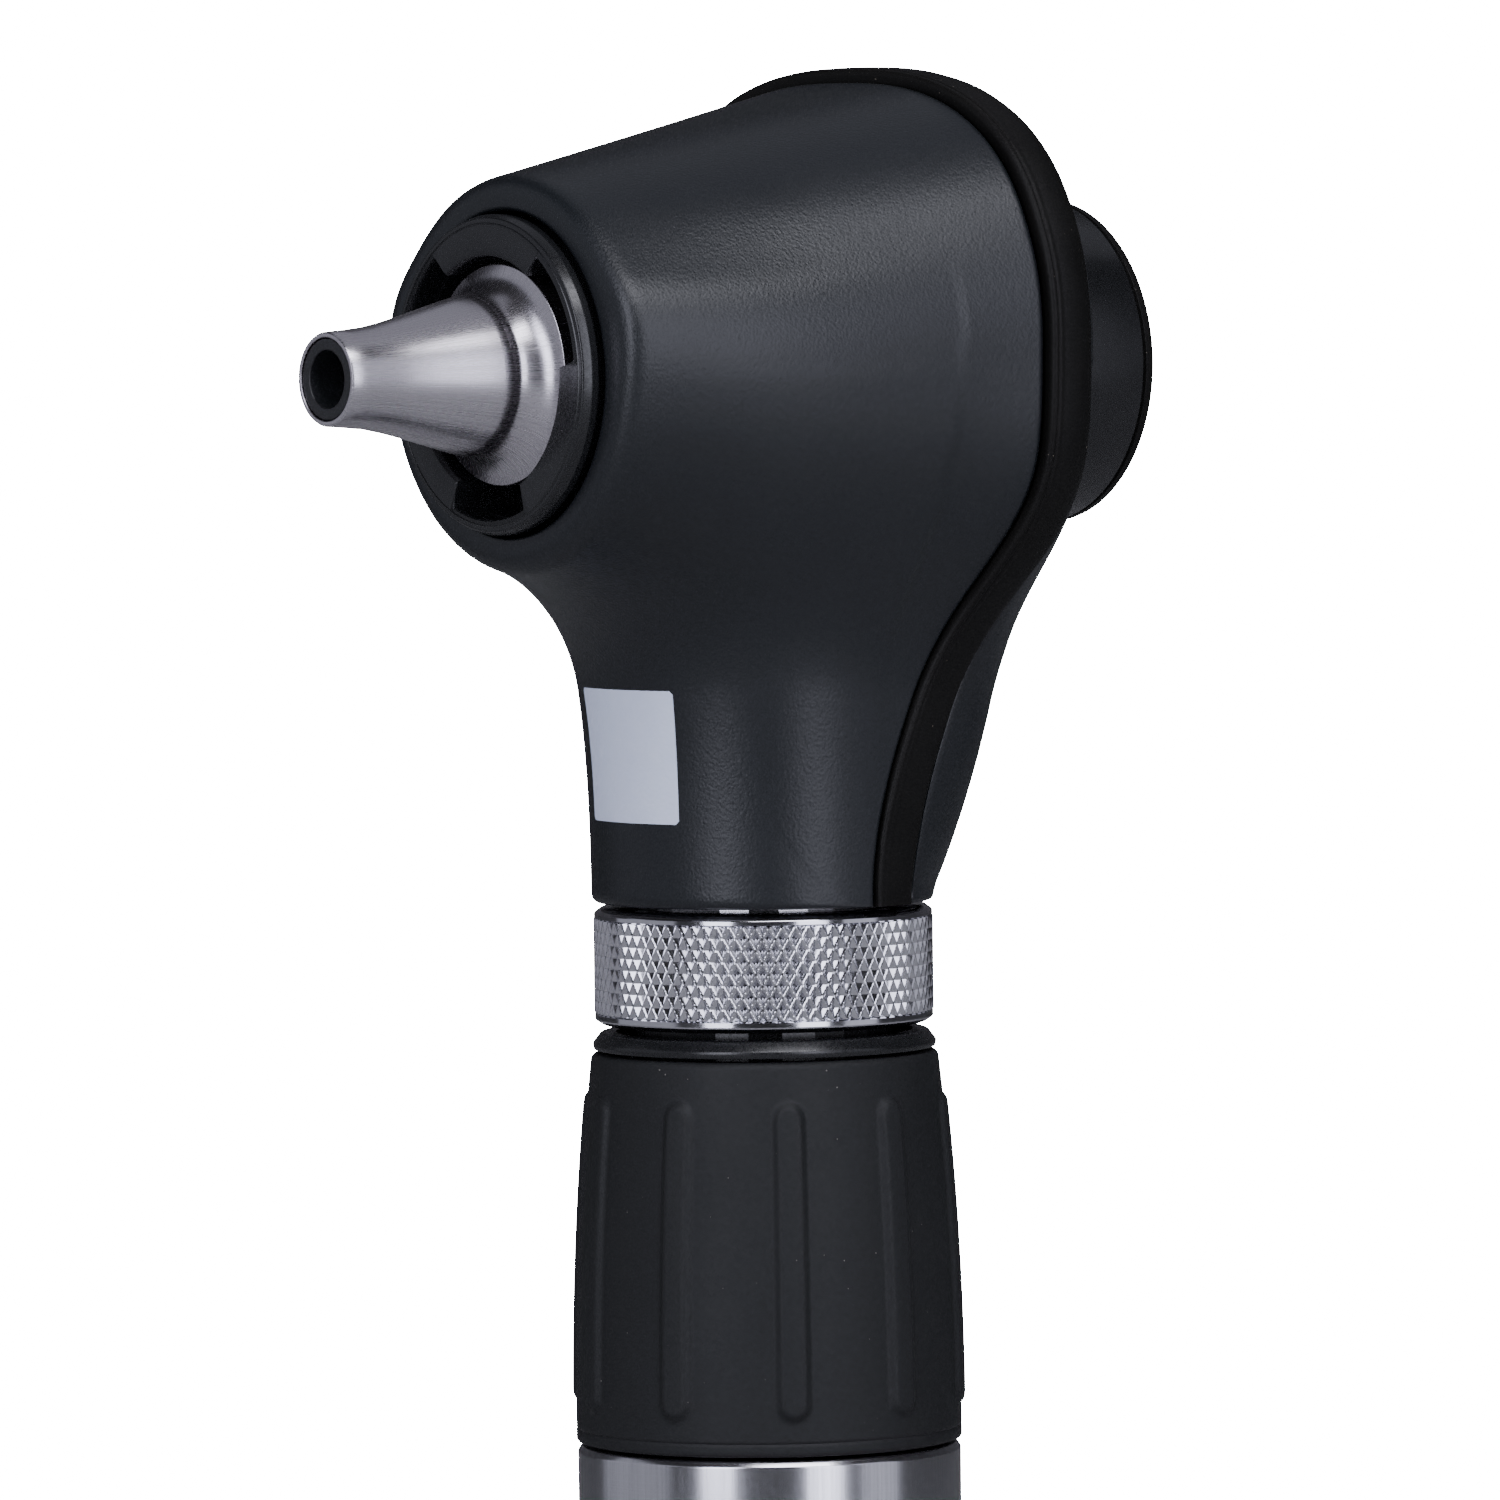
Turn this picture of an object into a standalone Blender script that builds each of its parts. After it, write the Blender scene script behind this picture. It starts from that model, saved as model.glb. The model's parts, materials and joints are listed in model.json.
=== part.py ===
"""A hand-held otoscope: an instrument head with a metal cone at the front and an eyepiece at the
back, standing on the upper end of a round battery handle.

Frame: +Z runs up the handle, the origin is the middle of the handle's flat base, the cone points
along -Y, the user's eye is on the +Y side and +X is the user's left. All sizes below are in
millimetres and become metres where a mesh is made.
"""
import math

import bmesh
import bpy
import numpy as np
from mathutils import Matrix

MM = 0.001          # metres in a millimetre
GAP = 0.3           # clearance between neighbouring pieces
OBJECT_NAME = "otoscope"

# Heights of the handle, from its base up
CAP_TOP = 14.0
TUBE_SHOULDER = 106.5
TUBE_TOP = 137.5
GRIP_TOP = 138.2
FLANGE_TOP = 139.9
RING_BOTTOM = 140.5
RING_TOP = 150.0
HEAD_BOTTOM = 150.4
AXIS_Z = 193.3      # height of the optical axis

# Radii of the handle
TUBE_R = 15.5
TUBE_BORE_R = 14.3
TUBE_NECK_R = 12.9
TUBE_NECK_BORE_R = 11.9
GRIP_TOP_R = 14.05
GRIP_BOTTOM_R = 15.35
RING_R = 13.72
NECK_R = 10.4
STUD_R = 9.2

# Grip ribs
RIB_COUNT = 10
RIB_HEIGHT = 0.45
RIB_WIDTH = 2.6

# Outer form of the head: a barrel along Y joined smoothly to a neck along Z
BARREL_FRONT_Y = -25.3
BARREL_FRONT_R = 15.6
BARREL_FRONT_DOWN = 15.5
BARREL_WIDE_Y = 8.6        # where the barrel reaches its full section
BARREL_HALF_WIDTH = 25.3
BARREL_UP = 22.85
BARREL_DOWN = 19.8
BARREL_GROWTH = 1.1         # the barrel stops growing at this share of its full section
BARREL_SQUARENESS = 2.6    # superellipse exponent of the full section; 2 is an ellipse
FRONT_ROUND = 1.5
HEAD_NECK_R = 14.2
NECK_FLARE_Z = 151.3
NECK_SIDE_FLARE = 4.7
NECK_FRONT_Y = -13.65
NECK_FRONT_FLARE = 12.8
NECK_BACK_Y = 29.65
NECK_BACK_SQUARENESS = 4.1
NECK_FRONT_SQUARENESS = 2.15
UNION_ROUND = 10.0
BACK_Y = 17.0
BACK_SLOPE = 0.27
BACK_SLOPE_ROUND = 3.0
BACK_ROUND = 7.6
HEAD_CENTRE = np.array((0.0, -1.0, AXIS_Z))
WALL = 2.0
HALVINGS = 17              # 70 mm halved this often is finer than a thousandth
ARCH_STEPS = 30            # samples over the arch of the bumper and of both casings

# Parting line between front shell and bumper, seen from the side
PARTING_NECK_Y = 0.43
PARTING_HEAD_Y = 9.2
PARTING_LOW_Z = 151.3
PARTING_HIGH_Z = 186.7
BUMPER_WIDTH = 4.2
BUMPER_RAISE_NECK = 0.25
BUMPER_RAISE_HEAD = 0.93
PANEL_TOP_BEARING = math.radians(62.0)
PANEL_STEP = 0.8
REAR_WALL = 1.2

# Cone and collar, as distances forward of the handle's axis
TIP_FRONT = 42.8
TIP_R = 3.75
TIP_BORE_R = 2.3
CONE_SHOULDER = 29.2
CONE_SHOULDER_R = 6.4
CONE_FLANGE_R = 8.8
COLLAR_FRONT = 27.1
COLLAR_BACK = 19.6
COLLAR_R = 12.75
COLLAR_BORE_R = 9.45
NOTCH_R = 11.5
NOTCH_ANGLES = (30.0, 150.0, 270.0)
NOTCH_WIDTH = 50.0
SHELL_BORE_R = 13.05

# Eyepiece, as distances behind the handle's axis
FOCUS_RING_FRONT = 18.2
FOCUS_RING_BACK = 29.7
EYECUP_BACK = 31.0
EYEPIECE_R = 13.2
HOUSING_R = 11.2
HOUSING_BORE_R = 9.8

# Optics inside the head
OPTICS_TUBE_R = 7.2
OPTICS_BORE_R = 6.2
CARRIAGE_R = 5.9

# Small moving pieces of the handle
PIN_TOP = 157.4
BUTTON_R = 1.7
BUTTON_Z = 145.2
BUTTON_OUT = 14.3
PORT_Y = -10.0
PORT_Z = AXIS_Z - 4.0

FORWARD = (math.radians(90.0), 0.0, 0.0)     # turns local +Z to -Y
SIDEWAYS = (0.0, math.radians(-90.0), 0.0)   # turns local +Z to -X

MATERIALS = {
    # name: (colour, roughness, metallic)
    "shell_plastic": ((0.018, 0.021, 0.024), 0.45, 0.0),
    "bumper_rubber": ((0.010, 0.009, 0.008), 0.60, 0.0),
    "grip_rubber": ((0.016, 0.017, 0.018), 0.65, 0.0),
    "gloss_plastic": ((0.012, 0.013, 0.014), 0.25, 0.0),
    "cone_steel": ((0.62, 0.61, 0.63), 0.32, 1.0),
    "ring_chrome": ((0.80, 0.80, 0.84), 0.12, 1.0),
    "tube_nickel": ((0.66, 0.66, 0.70), 0.28, 1.0),
    "contact_brass": ((0.72, 0.55, 0.25), 0.30, 1.0),
    "bright_steel": ((0.70, 0.70, 0.72), 0.25, 1.0),
    "heat_sink": ((0.50, 0.51, 0.53), 0.40, 1.0),
    "lens_glass": ((0.75, 0.80, 0.82), 0.05, 0.0),
    "insulator": ((0.55, 0.53, 0.48), 0.50, 0.0),
    "fibre": ((0.020, 0.022, 0.022), 0.40, 0.0),
    "battery_wrap": ((0.05, 0.16, 0.32), 0.40, 0.0),
    "button_green": ((0.03, 0.28, 0.12), 0.35, 0.0),
}


# ---------------------------------------------------------------- basic tools

def clear_scene():
    """Remove whatever the file holds before the part is made."""
    for obj in list(bpy.data.objects):
        bpy.data.objects.remove(obj, do_unlink=True)


def make_collection(name):
    collection = bpy.data.collections.new(name)
    bpy.context.scene.collection.children.link(collection)
    return collection


def make_materials():
    materials = {}
    for name, (colour, roughness, metallic) in MATERIALS.items():
        material = bpy.data.materials.new(name)
        material.use_nodes = True
        shader = material.node_tree.nodes["Principled BSDF"]
        shader.inputs["Base Color"].default_value = (*colour, 1.0)
        shader.inputs["Roughness"].default_value = roughness
        shader.inputs["Metallic"].default_value = metallic
        materials[name] = material
    return materials


clear_scene()
PARTS = make_collection(OBJECT_NAME)
CUTTERS = make_collection("cutters")
MATERIAL = make_materials()


def add_object(name, mesh, at=(0, 0, 0), turn=(0, 0, 0), material=None):
    """Put a mesh in the scene as a part, or as a hidden cutter when it has no material."""
    obj = bpy.data.objects.new(name, mesh)
    obj.location = [value * MM for value in at]
    obj.rotation_euler = turn
    if material:
        mesh.materials.append(MATERIAL[material])
        mesh.shade_smooth()
        mesh.set_sharp_from_angle(angle=math.radians(35.0))
        PARTS.objects.link(obj)
    else:
        obj.hide_render = True
        obj.display_type = "WIRE"
        CUTTERS.objects.link(obj)
    return obj


def turned(name, profile, steps=28, closed=True, **place):
    """Turn a profile of (radius, height) points about local Z.

    A closed profile makes a ring. An open one starts and ends on the axis and makes a solid.
    The points run down the outer side, top to bottom.
    """
    bm = bmesh.new()
    points = [bm.verts.new((radius * MM, 0.0, height * MM)) for radius, height in profile]
    ends = points[1:] + points[:1] if closed else points[1:]
    for start, end in zip(points, ends):
        bm.edges.new((start, end))
    mesh = bpy.data.meshes.new(name)
    bm.to_mesh(mesh)
    bm.free()
    obj = add_object(name, mesh, **place)
    screw = obj.modifiers.new("turn", "SCREW")
    screw.axis = "Z"
    screw.steps = steps
    screw.render_steps = steps
    screw.use_merge_vertices = True
    screw.merge_threshold = 0.000001
    screw.use_smooth_shade = True
    return obj


def ring(name, outer, inner, low, high, **options):
    """A plain ring between two radii and two heights."""
    profile = [(outer, high), (outer, low), (inner, low), (inner, high)]
    return turned(name, profile, **options)


def disc(name, radius, low, high, **options):
    """A plain round disc or rod between two heights."""
    profile = [(0.0, high), (radius, high), (radius, low), (0.0, low)]
    return turned(name, profile, closed=False, **options)


def lens(name, radius, low, high, bulge, **options):
    """A lens with both faces bulged outwards along its axis."""
    profile = [(0.0, high + bulge), (radius * 0.6, high + bulge * 0.64), (radius, high),
               (radius, low), (radius * 0.6, low - bulge * 0.64), (0.0, low - bulge)]
    return turned(name, profile, closed=False, **options)


def box(name, low, high, turn_z=0.0, **place):
    """A box between two corners, turned about local Z."""
    bm = bmesh.new()
    bmesh.ops.create_cube(bm, size=1.0)
    size = [(b - a) * MM for a, b in zip(low, high)]
    centre = [(a + b) * 0.5 * MM for a, b in zip(low, high)]
    bmesh.ops.transform(bm, matrix=Matrix.Diagonal((*size, 1.0)), verts=bm.verts)
    bmesh.ops.transform(bm, matrix=Matrix.Translation(centre), verts=bm.verts)
    bmesh.ops.transform(bm, matrix=Matrix.Rotation(turn_z, 4, "Z"), verts=bm.verts)
    mesh = bpy.data.meshes.new(name)
    bm.to_mesh(mesh)
    bm.free()
    return add_object(name, mesh, **place)


def combine(target, other, operation):
    """Cut or join a hidden helper with a part through a Boolean modifier."""
    boolean = target.modifiers.new(operation.lower() + "_" + other.name, "BOOLEAN")
    boolean.operation = operation
    boolean.solver = "EXACT"
    boolean.object = other


def wire(name, points, radius, material, bevel_resolution=1):
    """A round wire along a list of points."""
    curve = bpy.data.curves.new(name, "CURVE")
    curve.dimensions = "3D"
    curve.bevel_depth = radius * MM
    curve.bevel_resolution = bevel_resolution
    curve.use_fill_caps = True
    spline = curve.splines.new("POLY")
    spline.points.add(len(points) - 1)
    for target, point in zip(spline.points, points):
        target.co = (*[value * MM for value in point], 1.0)
    curve.materials.append(MATERIAL[material])
    obj = bpy.data.objects.new(name, curve)
    PARTS.objects.link(obj)
    return obj


def helix(low, high, radius_low, radius_high, turns, points_per_turn=8):
    """Points of a compression spring standing on the handle's axis."""
    count = turns * points_per_turn
    points = []
    for index in range(count + 1):
        share = index / count
        angle = 2.0 * math.pi * turns * share
        radius = radius_low + (radius_high - radius_low) * share
        height = low + (high - low) * share
        points.append((radius * math.cos(angle), radius * math.sin(angle), height))
    return points


# ---------------------------------------------------------------- form of the head

def smooth_union(a, b, width):
    """The lower of two distance fields, with the corner between them filled by a fillet."""
    share = np.clip(0.5 + 0.5 * (b - a) / width, 0.0, 1.0)
    return b * (1.0 - share) + a * share - width * share * (1.0 - share)


def smooth_cut(a, b, width):
    """The higher of two distance fields, with a rounded edge."""
    return -smooth_union(-a, -b, width)


def smooth_step(share):
    share = np.clip(share, 0.0, 1.0)
    return share * share * (3.0 - 2.0 * share)


def squircle(across, along, power):
    """The superellipse ratio: 1 on the outline whose half sizes divide the two distances."""
    return (np.abs(across) ** power + np.abs(along) ** power) ** (1.0 / power)


def barrel_field(x, y, z):
    """Signed distance to the sides of the barrel that carries the optics."""
    grown = np.clip((y - BARREL_FRONT_Y) / (BARREL_WIDE_Y - BARREL_FRONT_Y), 0.0, BARREL_GROWTH)
    half_width = BARREL_FRONT_R + (BARREL_HALF_WIDTH - BARREL_FRONT_R) * grown
    up = BARREL_FRONT_R + (BARREL_UP - BARREL_FRONT_R) * grown
    down = BARREL_FRONT_DOWN + (BARREL_DOWN - BARREL_FRONT_DOWN) * grown
    height = z - AXIS_Z
    half_height = np.where(height > 0.0, up, down)
    power = 2.0 + (BARREL_SQUARENESS - 2.0) * np.minimum(grown, 1.0)
    side = squircle(x / half_width, height / half_height, power) - 1.0
    return side * 0.5 * (half_width + half_height)


def neck_field(x, y, z):
    """Signed distance to the neck, round at the handle and squarer behind as it rises."""
    rise = np.clip((z - NECK_FLARE_Z) / (AXIS_Z - NECK_FLARE_Z), 0.0, 1.3)
    half_width = HEAD_NECK_R + NECK_SIDE_FLARE * rise ** 2
    back = HEAD_NECK_R + (NECK_BACK_Y - HEAD_NECK_R) * rise
    front = NECK_FRONT_Y - NECK_FRONT_FLARE * rise ** 3
    middle = 2.0 * rise
    depth = np.where(y > middle, back - middle, middle - front)
    full_power = np.where(y > middle, NECK_BACK_SQUARENESS, NECK_FRONT_SQUARENESS)
    power = 2.0 + (full_power - 2.0) * np.minimum(2.2 * rise, 1.0)
    side = squircle(x / half_width, (y - middle) / depth, power) - 1.0
    return smooth_cut(side * 0.5 * (half_width + depth), z - (AXIS_Z + 2.0), 8.0)


def head_field(points):
    """Signed distance, in millimetres, to the outer form of the head. The neck has no lower end."""
    x, y, z = points[..., 0], points[..., 1], points[..., 2]
    form = smooth_union(barrel_field(x, y, z), neck_field(x, y, z), UNION_ROUND)
    slope = HEAD_NECK_R + 0.6 + BACK_SLOPE * (z - NECK_FLARE_Z)
    back = smooth_union(BACK_Y + 0.0 * z, slope, BACK_SLOPE_ROUND)
    form = smooth_cut(form, y - back, BACK_ROUND)
    return smooth_cut(form, BARREL_FRONT_Y - y, FRONT_ROUND)


def halve(is_inside, start, stop):
    """Where a test changes from true at start to false at stop, for whole arrays at once."""
    for _ in range(HALVINGS):
        middle = 0.5 * (start + stop)
        inside = is_inside(middle)
        start = np.where(inside, middle, start)
        stop = np.where(inside, stop, middle)
    return start


def on_head(tilt, bearing):
    """Points of the head's form on rays from its centre: tilt from forward, bearing from up."""
    direction = np.stack([np.sin(tilt) * np.sin(bearing), -np.cos(tilt),
                          np.sin(tilt) * np.cos(bearing)], axis=-1)

    def at(reach):
        return HEAD_CENTRE + direction * reach[..., None]

    reach = halve(lambda r: head_field(at(r)) < 0.0, np.zeros_like(tilt), np.full_like(tilt, 70.0))
    return at(reach)


def outward(points):
    """Unit normals of the head's form, from the slope of its distance field."""
    step = 0.01
    slopes = []
    for axis in np.eye(3) * step:
        slopes.append(head_field(points + axis) - head_field(points - axis))
    normal = np.stack(slopes, axis=-1)
    return normal / np.linalg.norm(normal, axis=-1, keepdims=True)


def parting_y(z):
    """The front edge of the bumper, seen from the side: forward at the neck, back at the head."""
    share = smooth_step((z - PARTING_LOW_Z) / (PARTING_HIGH_Z - PARTING_LOW_Z))
    return PARTING_NECK_Y + (PARTING_HEAD_Y - PARTING_NECK_Y) * share


def bumper_raise(z):
    """How far the bumper stands out of the shell: little at the neck, more round the head."""
    share = smooth_step((z - PARTING_LOW_Z) / (PARTING_HIGH_Z - PARTING_LOW_Z))
    return BUMPER_RAISE_NECK + (BUMPER_RAISE_HEAD - BUMPER_RAISE_NECK) * share


def behind_parting(points, shift):
    return points[..., 1] - parting_y(points[..., 2]) - shift


def off_axis(points):
    return np.hypot(points[..., 0], points[..., 2] - AXIS_Z)


def tilt_at_radius(bearing, radius, start, stop):
    """The tilt at which the head's form is a given distance from the optical axis."""
    return halve(lambda t: off_axis(on_head(t, bearing)) < radius,
                 np.full_like(bearing, start), np.full_like(bearing, stop))


def tilt_at_parting(bearing, shift):
    """The tilt at which the head's form crosses the parting line, moved back by a shift."""
    return halve(lambda t: behind_parting(on_head(t, bearing), shift) < 0.0,
                 np.full_like(bearing, 0.05), np.full_like(bearing, 0.98 * math.pi))


def neck_bearing(shift):
    """The bearing at which the parting line, moved back by a shift, reaches the head's lower end."""
    y = parting_y(HEAD_BOTTOM) + shift

    def inside(x):
        return head_field(np.stack([x, np.full_like(x, y), np.full_like(x, HEAD_BOTTOM)], -1)) < 0.0

    x = float(halve(inside, np.zeros(1), np.full(1, 30.0))[0])
    return math.atan2(x, HEAD_BOTTOM - AXIS_Z)


def arch(corner):
    """Bearings over the head from one lower corner to the other, closer together down the neck."""
    share = np.linspace(-1.0, 1.0, ARCH_STEPS + 1)
    return corner * share * (1.5 - 0.5 * share ** 2)


def full_circle(corner):
    """Bearings all round: over the head and then along its lower end."""
    return np.concatenate([arch(corner)[:-1],
                           np.linspace(corner, 2.0 * math.pi - corner, 10, endpoint=False)])


def grid_between(bearing, start, stop, shares):
    """Rows of surface points and normals between two tilts."""
    tilts = np.stack([start + (stop - start) * share for share in shares])
    points = on_head(tilts, np.broadcast_to(bearing, tilts.shape))
    return points, outward(points)


def thick_sheet(name, outer, inner, ring_shaped):
    """A closed solid from two matching grids of points, one outside and one inside."""
    bm = bmesh.new()
    layers = [[[bm.verts.new(point * MM) for point in row] for row in grid]
              for grid in (outer, inner)]
    rows, columns = outer.shape[:2]
    last = columns if ring_shaped else columns - 1
    for column in range(last):
        following = (column + 1) % columns
        for layer in layers:
            for upper, lower in zip(layer, layer[1:]):
                bm.faces.new((upper[column], upper[following], lower[following], lower[column]))
        for row in (0, rows - 1):
            outside, inside = layers[0][row], layers[1][row]
            bm.faces.new((outside[column], outside[following], inside[following], inside[column]))
    if not ring_shaped:
        for column in (0, columns - 1):
            for row in range(rows - 1):
                bm.faces.new((layers[0][row][column], layers[0][row + 1][column],
                              layers[1][row + 1][column], layers[1][row][column]))
    bmesh.ops.recalc_face_normals(bm, faces=bm.faces)
    mesh = bpy.data.meshes.new(name)
    bm.to_mesh(mesh)
    bm.free()
    return mesh


# ---------------------------------------------------------------- pieces of the head

def make_front_shell():
    """The grained casing in front of the bumper, open at the collar and at the neck."""
    shift = -0.5 * GAP
    bearing = full_circle(neck_bearing(shift))
    start = tilt_at_radius(bearing, SHELL_BORE_R, 0.01, 0.4 * math.pi)

    def in_front(tilt):
        points = on_head(tilt, bearing)
        return (behind_parting(points, shift) < 0.0) & (points[..., 2] > HEAD_BOTTOM)

    stop = halve(in_front, start, np.full_like(bearing, 0.98 * math.pi))
    shares = np.linspace(0.0, 1.0, 8) ** 1.6
    points, normals = grid_between(bearing, start, stop, shares)
    mesh = thick_sheet("front_shell", points, points - WALL * normals, True)
    shell = add_object("front_shell", mesh, material="shell_plastic")
    hole = disc("port_hole", 2.9, 0.0, 30.0, steps=16, at=(0, PORT_Y, PORT_Z), turn=SIDEWAYS)
    combine(shell, hole, "DIFFERENCE")


def make_bumper():
    """The rubber strip that runs up one side of the head, over the top and down the other."""
    # (distance behind the parting line, share of the full raise)
    section = [(0.5 * GAP, 0.1), (0.4, 0.85), (0.9, 1.0), (2.4, 0.85),
               (BUMPER_WIDTH - 0.5 * GAP, 0.1)]
    outer, inner = [], []
    for shift, share in section:
        bearing = arch(neck_bearing(shift))
        points = on_head(tilt_at_parting(bearing, shift), bearing)
        normals = outward(points)
        height = share * bumper_raise(points[..., 2])
        outer.append(points + height[..., None] * normals)
        inner.append(points - WALL * normals)
    mesh = thick_sheet("bumper_strip", np.stack(outer), np.stack(inner), False)
    add_object("bumper_strip", mesh, material="bumper_rubber")


def rear_stop(bearing, start, shift):
    """Going out from the eyepiece, the tilt at which the rear of the head ends."""
    def behind(tilt):
        points = on_head(tilt, bearing)
        return (behind_parting(points, shift) > 0.0) & (points[..., 2] > HEAD_BOTTOM)

    return halve(behind, start, np.full_like(bearing, 0.02 * math.pi))


def make_rear_cover():
    """The casing behind the bumper, with the hole for the eyepiece."""
    shift = BUMPER_WIDTH + 0.5 * GAP
    bearing = full_circle(neck_bearing(shift))
    start = tilt_at_radius(bearing, HOUSING_R + GAP, 0.999 * math.pi, 0.6 * math.pi)
    stop = rear_stop(bearing, start, shift)
    points, normals = grid_between(bearing, start, stop, np.linspace(0.0, 1.0, 5))
    mesh = thick_sheet("rear_cover", points - PANEL_STEP * normals,
                       points - (PANEL_STEP + REAR_WALL) * normals, True)
    add_object("rear_cover", mesh, material="shell_plastic")


def make_rear_panel():
    """The thin plate on the lower part of the rear cover, which stands out as a step."""
    shift = BUMPER_WIDTH + 0.5 * GAP
    corner = neck_bearing(shift)
    over = arch(corner)
    side = over[over > PANEL_TOP_BEARING + 0.02]
    below = np.linspace(corner, 2.0 * math.pi - corner, 11)[1:-1]
    bearing = np.concatenate([[PANEL_TOP_BEARING], side, below, 2.0 * math.pi - side[::-1],
                              [2.0 * math.pi - PANEL_TOP_BEARING]])
    start = tilt_at_radius(bearing, HOUSING_R + GAP, 0.999 * math.pi, 0.6 * math.pi)
    stop = rear_stop(bearing, start, shift)
    points, normals = grid_between(bearing, start, stop, np.linspace(0.0, 1.0, 5))
    mesh = thick_sheet("rear_panel", points, points - (PANEL_STEP - GAP) * normals, False)
    add_object("rear_panel", mesh, material="shell_plastic")


def make_cone():
    """The brushed metal cone, which carries the light guide and takes the disposable tips."""
    profile = [
        (TIP_R - 0.1, TIP_FRONT), (TIP_R, TIP_FRONT - 0.2), (4.05, 39.0), (4.87, 35.2),
        (5.95, 31.1), (CONE_SHOULDER_R, CONE_SHOULDER), (6.2, 28.6), (6.5, 27.7), (7.3, 26.6),
        (CONE_FLANGE_R, 25.9), (CONE_FLANGE_R, 19.6), (8.1, 19.6), (8.1, 22.8), (5.2, 28.0),
        (4.0, 35.0), (3.45, 40.0), (3.45, TIP_FRONT)]
    turned("speculum_cone", profile, at=(0, 0, AXIS_Z), turn=FORWARD, material="cone_steel")


def make_collar():
    """The turning collar round the cone, with three bayonet notches for the tips."""
    lip = [(11.9, COLLAR_FRONT), (12.45, COLLAR_FRONT - 0.25), (COLLAR_R, COLLAR_FRONT - 1.0)]
    profile = [(COLLAR_BORE_R, COLLAR_FRONT)] + lip + [
        (COLLAR_R, COLLAR_FRONT - 1.4), (12.3, COLLAR_FRONT - 2.0), (12.3, COLLAR_BACK),
        (NOTCH_R - 0.1, COLLAR_BACK), (NOTCH_R - 0.1, COLLAR_FRONT - 2.6),
        (COLLAR_BORE_R, COLLAR_FRONT - 2.6)]
    collar = turned("tip_collar", profile, steps=36, at=(0, 0, AXIS_Z), turn=FORWARD,
                    material="gloss_plastic")
    half_chord = NOTCH_R * math.sin(math.radians(NOTCH_WIDTH / 2.0))
    for index, angle in enumerate(NOTCH_ANGLES):
        low = (5.0, -half_chord, COLLAR_FRONT - 4.0)
        high = (NOTCH_R, half_chord, COLLAR_FRONT + 1.0)
        notch = box(f"collar_notch_{index}", low, high, turn_z=math.radians(angle),
                    at=(0, 0, AXIS_Z), turn=FORWARD)
        combine(collar, notch, "DIFFERENCE")


def make_light_guide():
    """The ring of fibres inside the cone and the bundle that feeds it from the lamp."""
    profile = [(3.15, TIP_FRONT - 0.2), (3.15, 40.0), (3.7, 35.0), (4.9, 27.8), (7.8, 22.4),
               (7.8, 20.4), (TIP_BORE_R, 20.4), (TIP_BORE_R, TIP_FRONT - 0.2)]
    turned("fibre_ring", profile, steps=16, at=(0, 0, AXIS_Z), turn=FORWARD, material="fibre")
    route = [(0, 0, 177.8), (0, -0.6, 180.4), (0, -2.6, 182.6), (0, -6.0, 184.0),
             (0, -11.0, 184.4), (0, -15.5, 185.2), (0, -19.8, 186.3)]
    wire("fibre_bundle", route, 0.9, "fibre")


def make_front_plate():
    """The bulkhead behind the cone, which holds the cone and the optics tube in the shell."""
    ring("front_plate", 14.2, 9.0, 16.2, 18.4, at=(0, 0, AXIS_Z), turn=FORWARD,
         material="heat_sink")


def make_optics():
    """Lenses and the tube that holds them, in line behind the cone."""
    place = {"at": (0, 0, AXIS_Z), "turn": FORWARD, "steps": 24}
    lens("objective_lens", TIP_BORE_R - GAP, 32.4, 33.6, 0.4, material="lens_glass", **place)
    ring("optics_tube", OPTICS_TUBE_R, OPTICS_BORE_R, -12.0, 14.2, material="gloss_plastic",
         **place)
    lens("relay_lens", OPTICS_BORE_R - GAP, 11.6, 13.0, 0.7, material="lens_glass", **place)
    ring("lens_retainer", OPTICS_BORE_R - GAP, 4.8, -11.4, -10.2, material="bright_steel",
         **place)


def make_focus_carriage():
    """The sliding carriage with the focusing lens, at the middle of its travel."""
    place = {"at": (0, 0, AXIS_Z), "turn": FORWARD, "steps": 24}
    ring("lens_carriage", CARRIAGE_R, 4.9, -4.0, 4.0, material="gloss_plastic", **place)
    lens("focus_lens", 4.6, -1.0, 1.0, 0.6, material="lens_glass", **place)


def make_eyepiece():
    """The rear tube of the optics with its large lens, the focusing ring and the eyecup."""
    place = {"at": (0, 0, AXIS_Z), "turn": FORWARD, "steps": 32}
    ring("eyepiece_housing", HOUSING_R, HOUSING_BORE_R, -EYECUP_BACK + 1.3, -13.0,
         material="gloss_plastic", **place)
    lens("eyepiece_lens", HOUSING_BORE_R - GAP, -22.6, -20.4, 0.9, material="lens_glass", **place)
    ring("eyepiece_retainer", HOUSING_BORE_R - GAP, 8.6, -24.6, -23.6, material="gloss_plastic",
         **place)
    focus = [(EYEPIECE_R - 0.3, -FOCUS_RING_FRONT), (EYEPIECE_R, -FOCUS_RING_FRONT - 0.3),
             (EYEPIECE_R, -FOCUS_RING_BACK), (HOUSING_R + 0.4, -FOCUS_RING_BACK),
             (HOUSING_R + 0.4, -FOCUS_RING_FRONT)]
    turned("focus_ring", focus, at=(0, 0, AXIS_Z), turn=FORWARD, steps=32,
           material="gloss_plastic")
    front = -FOCUS_RING_BACK - GAP
    cup = [(EYEPIECE_R, front), (EYEPIECE_R, -EYECUP_BACK + 0.5),
           (EYEPIECE_R - 0.5, -EYECUP_BACK), (10.4, -EYECUP_BACK), (10.0, front)]
    turned("eyecup", cup, at=(0, 0, AXIS_Z), turn=FORWARD, steps=32, material="bumper_rubber")


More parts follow.
